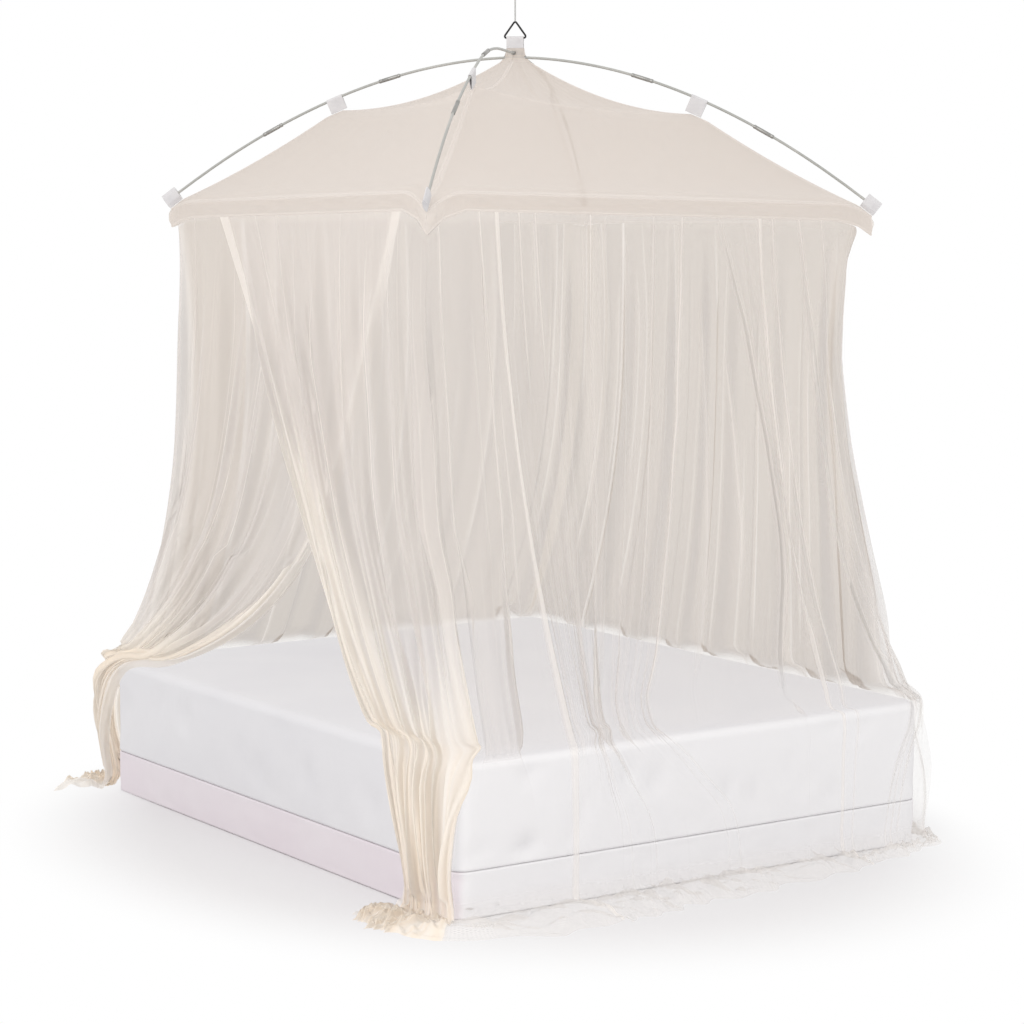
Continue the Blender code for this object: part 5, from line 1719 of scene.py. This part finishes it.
@dataclass
class BentRod:
    """A glass-fibre rod in six lengths, from corner to corner over the roof, with its metal sleeves."""

    corner: int
    name: str
    radius: float = 0.004
    sleeve_radius: float = 0.006
    sleeve_length: float = 0.070
    sleeve_places: tuple[float, ...] = (-0.70, -0.36, 0.0, 0.36, 0.70)

    def spot(self, share: float) -> np.ndarray:
        """The rod's middle at a signed share of the half diagonal."""
        end = self.corner if share > 0 else self.corner + 2
        return FORM.over_diagonal(end, abs(share), FORM.rod_height(end, share))

    def path(self) -> list[np.ndarray]:
        """The centreline, straight where it sits in its pockets.

        Returns:
            The points, from end to end.
        """
        inner = [self.spot(share) for share in np.linspace(-0.93, 0.93, 25)]
        line = list(subdivided(np.array(inner)[:, None, :], [4] * 24)[:, 0])
        for end in (self.corner + 2, self.corner):
            along, _, _ = FORM.rod_frame(end, 1.0)
            socket = FORM.over_diagonal(end, 1.0, FORM.rod_height(end, 1.0))
            stretch = [socket + along * travel for travel in (-FORM.pocket[0] / 2 - 0.006, 0.012)]
            line = line + stretch if end == self.corner else stretch[::-1] + line
        return line

    def build(self, wardrobe: Wardrobe) -> None:
        """Makes the rod and its sleeves.

        Args:
            wardrobe: Dresses the pieces.
        """
        rod = tube(f"glass_fibre_{self.name}", self.path(), self.radius, resolution=6)
        wardrobe.dress(rod, Slot.ROD, f"rod_{self.name}")
        half, outer, inner = self.sleeve_length / 2, self.sleeve_radius, self.radius + 0.0003
        low = [(inner, -half + 0.001), (outer - 0.0007, -half + 0.001), (outer, -half + 0.002),
               (outer, -half + 0.009), (outer - 0.0005, -half + 0.0098), (outer - 0.0005, -half + 0.0122),
               (outer, -half + 0.013)]
        profile = low + [(radius, -height) for radius, height in low[::-1]]
        for number, place in enumerate(self.sleeve_places, 1):
            reach = half / FORM.diagonal
            axis = unit(self.spot(place + reach) - self.spot(place - reach))
            side = unit(np.cross(axis, (0.0, 0.0, 1.0)))
            bm = turned(profile)
            bm.transform(frame_of((self.spot(place + reach) + self.spot(place - reach)) / 2, side,
                                  np.cross(axis, side), axis))
            wardrobe.dress(mesh_piece(f"sleeve_{self.name}_{number}", bm), Slot.FERRULE,
                           f"ferrule_{self.name}_{number}")


@dataclass
class HangingCord:
    """The taut braided cord from the ring up to the ceiling hook."""

    start: float = 2.4538
    end: float = 2.5280
    radius: float = 0.0025

    def build(self, wardrobe: Wardrobe) -> None:
        """Makes the cord on the route of its node.

        Args:
            wardrobe: Dresses the piece.
        """
        points = [np.array([*FORM.centre, height]) for height in np.linspace(self.start, self.end, 15)]
        cord = tube("braided_cord", points, self.radius)
        wardrobe.dress(cord, Slot.CORD, "hanging_cord")


@dataclass
class Bed:
    """The plain double bed: a mattress in a fitted sheet on a cloth-covered base."""

    base_height: float = 0.13
    corner_radius: float = 0.05
    cuts: int = 70

    def block(self, name: str, low: float, high: float, radii: tuple[float, float], seed: int,
              depth: float) -> bpy.types.Object:
        """A soft-edged block with shallow creases in its sides.

        Args:
            name: The piece's name.
            low: Height of its underside.
            high: Height of its top.
            radii: Radii of its bottom and top edges.
            seed: Chooses its creases.
            depth: How deep the creases go in.

        Returns:
            The piece.
        """
        bm = bmesh.new()
        bmesh.ops.create_cube(bm, size=2.0)
        bmesh.ops.subdivide_edges(bm, edges=bm.edges, cuts=self.cuts, use_grid_fill=True)
        mesh = bpy.data.meshes.new(name)
        bm.to_mesh(mesh)
        bm.free()
        spots = np.zeros(len(mesh.vertices) * 3, np.float32)
        mesh.vertices.foreach_get("co", spots)
        spots = spots.reshape(-1, 3).astype(float)
        half = np.array([*FORM.bed_half, (high - low) / 2])
        eased = np.sign(spots) * (1 - (1 - np.abs(spots)) ** 1.5)
        spots = np.where(np.abs(spots) < 1, eased, spots) * half
        core = np.clip(spots[:, :2], -(half[:2] - self.corner_radius), half[:2] - self.corner_radius)
        off = spots[:, :2] - core
        reach = np.linalg.norm(off, axis=1, keepdims=True)
        square = np.maximum(np.abs(off).max(axis=1, keepdims=True), 1e-9)
        spots[:, :2] = core + off * np.where(reach > 1e-6, square / np.maximum(reach, 1e-9), 1.0)
        to_side = np.where(reach[:, 0] > 1e-6, self.corner_radius - square[:, 0], self.corner_radius)
        radius = np.where(spots[:, 2] < 0, *radii)
        near = np.clip(radius - to_side, 0, None), np.clip(np.abs(spots[:, 2]) - (half[2] - radius), 0, None)
        length, largest = np.hypot(*near), np.maximum(*near)
        shrink = np.where(length > 1e-9, largest / np.maximum(length, 1e-9), 1.0)
        outward = np.where(reach > 1e-6, (spots[:, :2] - core) / np.maximum(reach, 1e-9), 0.0)
        outward = unit(np.append(outward, np.zeros((len(spots), 1)), axis=1))
        spots -= outward * (near[0] * (1 - shrink))[:, None]
        spots[:, 2] -= np.sign(spots[:, 2]) * near[1] * (1 - shrink)
        around = np.arctan2(spots[:, 1] / half[1], spots[:, 0] / half[0]) * 6
        crease = np.maximum(ripples(around * 2.0 + spots[:, 2] * 3, spots[:, 2] * 5, seed), 0) ** 1.5
        side = smooth_step(0.02, 0.0, to_side) * smooth_step(1.0, 0.6, np.abs(spots[:, 2]) / half[2])
        spots -= outward * (crease * side * depth)[:, None]
        top = smooth_step(0.9, 1.0, spots[:, 2] / half[2]) * smooth_step(0.0, 0.05, to_side - 0.03)
        inside = np.prod(1 - (spots[:, :2] / half[:2]) ** 2, axis=1)
        uneven = ripples(spots[:, 0] * 1.6, spots[:, 1] * 1.6, seed + 1)
        spots[:, 2] += top * 0.4 * depth * (inside * 2 + 0.6 * uneven)
        spots[:, 2] += (high + low) / 2
        mesh.vertices.foreach_set("co", spots.astype(np.float32).ravel())
        mesh.shade_smooth()
        mesh.update()
        return link(name, mesh)

    def build(self, wardrobe: Wardrobe) -> None:
        """Makes the mattress and the base.

        Args:
            wardrobe: Dresses the pieces.
        """
        base = self.block("divan", 0.0, self.base_height, (0.006, 0.006), 21, 0.0022)
        wardrobe.dress(base, Slot.BASE, "bed_base")
        cover = self.block("mattress_cover", self.base_height + FORM.gap, FORM.bed_top,
                           (0.009, FORM.edge_radius), 22, 0.004)
        wardrobe.dress(cover, Slot.MATTRESS, "mattress")


@dataclass
class Studio:
    """The camera, the soft light and the pale floor."""

    camera_place: tuple[float, float, float] = (-4.8527, -7.1807, 1.9582)
    yaw: float = 0.5985
    pitch: float = 0.1155
    focal_pixels: float = 2816.2
    image_width: int = 1024
    sensor: float = 36.0
    sky: float = 1.05
    lamp_place: tuple[float, float, float] = (-4.6, -3.8, 4.6)
    lamp_aim: tuple[float, float, float] = (0.0, -0.2, 0.8)
    lamp_size: float = 5.0
    lamp_power: float = 145.0
    lamp_colour: Colour = (1.0, 0.985, 0.96)
    floor_radius: float = 14.0
    floor_tone: Colour = (0.72, 0.71, 0.715)
    floor_shift: tuple[float, float] = (0.12, 0.13)
    floor_reach: tuple[float, float] = (1.15, 1.40)
    floor_fade: tuple[float, float] = (0.82, 1.28)

    def set_camera(self) -> None:
        """Places the camera and makes it the scene's."""
        data = bpy.data.cameras.new("camera")
        data.sensor_width = self.sensor
        data.lens = self.focal_pixels / self.image_width * self.sensor
        data.clip_start, data.clip_end = 0.1, 60.0
        camera = link("camera", data)
        camera.location = self.camera_place
        camera.rotation_euler = (math.pi / 2 - self.pitch, 0.0, -self.yaw)
        bpy.context.scene.camera = camera

    def light(self) -> None:
        """Soft light from all round, with a broad lamp over the near side."""
        scene = bpy.context.scene
        scene.view_settings.view_transform = "Standard"
        scene.cycles.transparent_max_bounces = 48
        world = scene.world or bpy.data.worlds.new("studio")
        scene.world = world
        board = NodeBoard(world)
        seen = board.node("LightPath").outputs["Is Camera Ray"]
        strength = board.math("ADD", board.math("MULTIPLY", seen, 1.0 - self.sky), self.sky)
        shell = board.node("Background", {"Color": (1.0, 1.0, 1.0, 1.0), "Strength": strength})
        board.node("OutputWorld", {"Surface": shell.outputs[0]})
        data = bpy.data.lights.new("broad_lamp", "AREA")
        data.shape, data.energy, data.color = "RECTANGLE", self.lamp_power, self.lamp_colour
        data.size = data.size_y = self.lamp_size
        lamp = link("broad_lamp", data)
        lamp.location = self.lamp_place
        aim = Vector(self.lamp_aim) - lamp.location
        lamp.rotation_euler = aim.to_track_quat("-Z", "Y").to_euler()

    def floor(self) -> None:
        """A pale floor that fades to plain white away from the bed."""
        bm = bmesh.new()
        bmesh.ops.create_circle(bm, cap_ends=True, segments=96, radius=self.floor_radius)
        bmesh.ops.translate(bm, verts=bm.verts, vec=(0.0, 0.0, -0.0006))
        floor = mesh_piece("studio_floor", bm)
        material = bpy.data.materials.new("pale_floor")
        board = NodeBoard(material)
        scale = (1 / self.floor_reach[0], 1 / self.floor_reach[1], 0.0)
        place = board.node("Mapping", {"Vector": board.node("TexCoord").outputs["Object"],
                                       "Location": (*self.floor_shift, 0.0), "Scale": scale}).outputs[0]
        distance = board.node("VectorMath", {0: place}, operation="LENGTH").outputs["Value"]
        far = board.ramp(distance, *self.floor_fade)
        matt = board.node("BsdfDiffuse", {"Color": (*self.floor_tone, 1.0)})
        glow = board.node("Emission", {"Color": (1.0, 1.0, 1.0, 1.0), "Strength": 1.0})
        both = board.node("MixShader", {0: far, 1: matt.outputs[0], 2: glow.outputs[0]})
        board.node("OutputMaterial", {"Surface": both.outputs[0]})
        floor.data.materials.append(material)


def repaint_kept(wardrobe: Wardrobe) -> None:
    """Gives the CAD nodes that stay their finishes.

    Args:
        wardrobe: Holds the finishes.
    """
    for corner in CORNER_NAMES:
        wardrobe.repaint(f"tab_{corner}", Slot.WEBBING)
        wardrobe.repaint(f"pocket_{corner}", Slot.WEBBING)
    for node, slot in (("peak_loop", Slot.WEBBING), ("peak_ring", Slot.RING), ("ceiling_hook", Slot.HOOK),
                       ("ceiling_plate", Slot.HOOK)):
        wardrobe.repaint(node, slot)


def main() -> None:
    """Builds the scene's pieces in order."""
    logging.basicConfig(level=logging.INFO, format="%(message)s")
    wardrobe, studio = Wardrobe(), Studio()
    studio.set_camera()
    HangingCord().build(wardrobe)
    studio.light()
    studio.floor()
    repaint_kept(wardrobe)
    Bed().build(wardrobe)
    for wall in range(4):
        RoofGore(wall).build(wardrobe)
        Valance(wall).build(wardrobe)
    PeakNeck().build(wardrobe)
    for curtain in CURTAINS:
        curtain.build(wardrobe)
    for corner, name in ((1, "low"), (2, "high")):
        BentRod(corner, name).build(wardrobe)


if __name__ == "__main__":
    main()
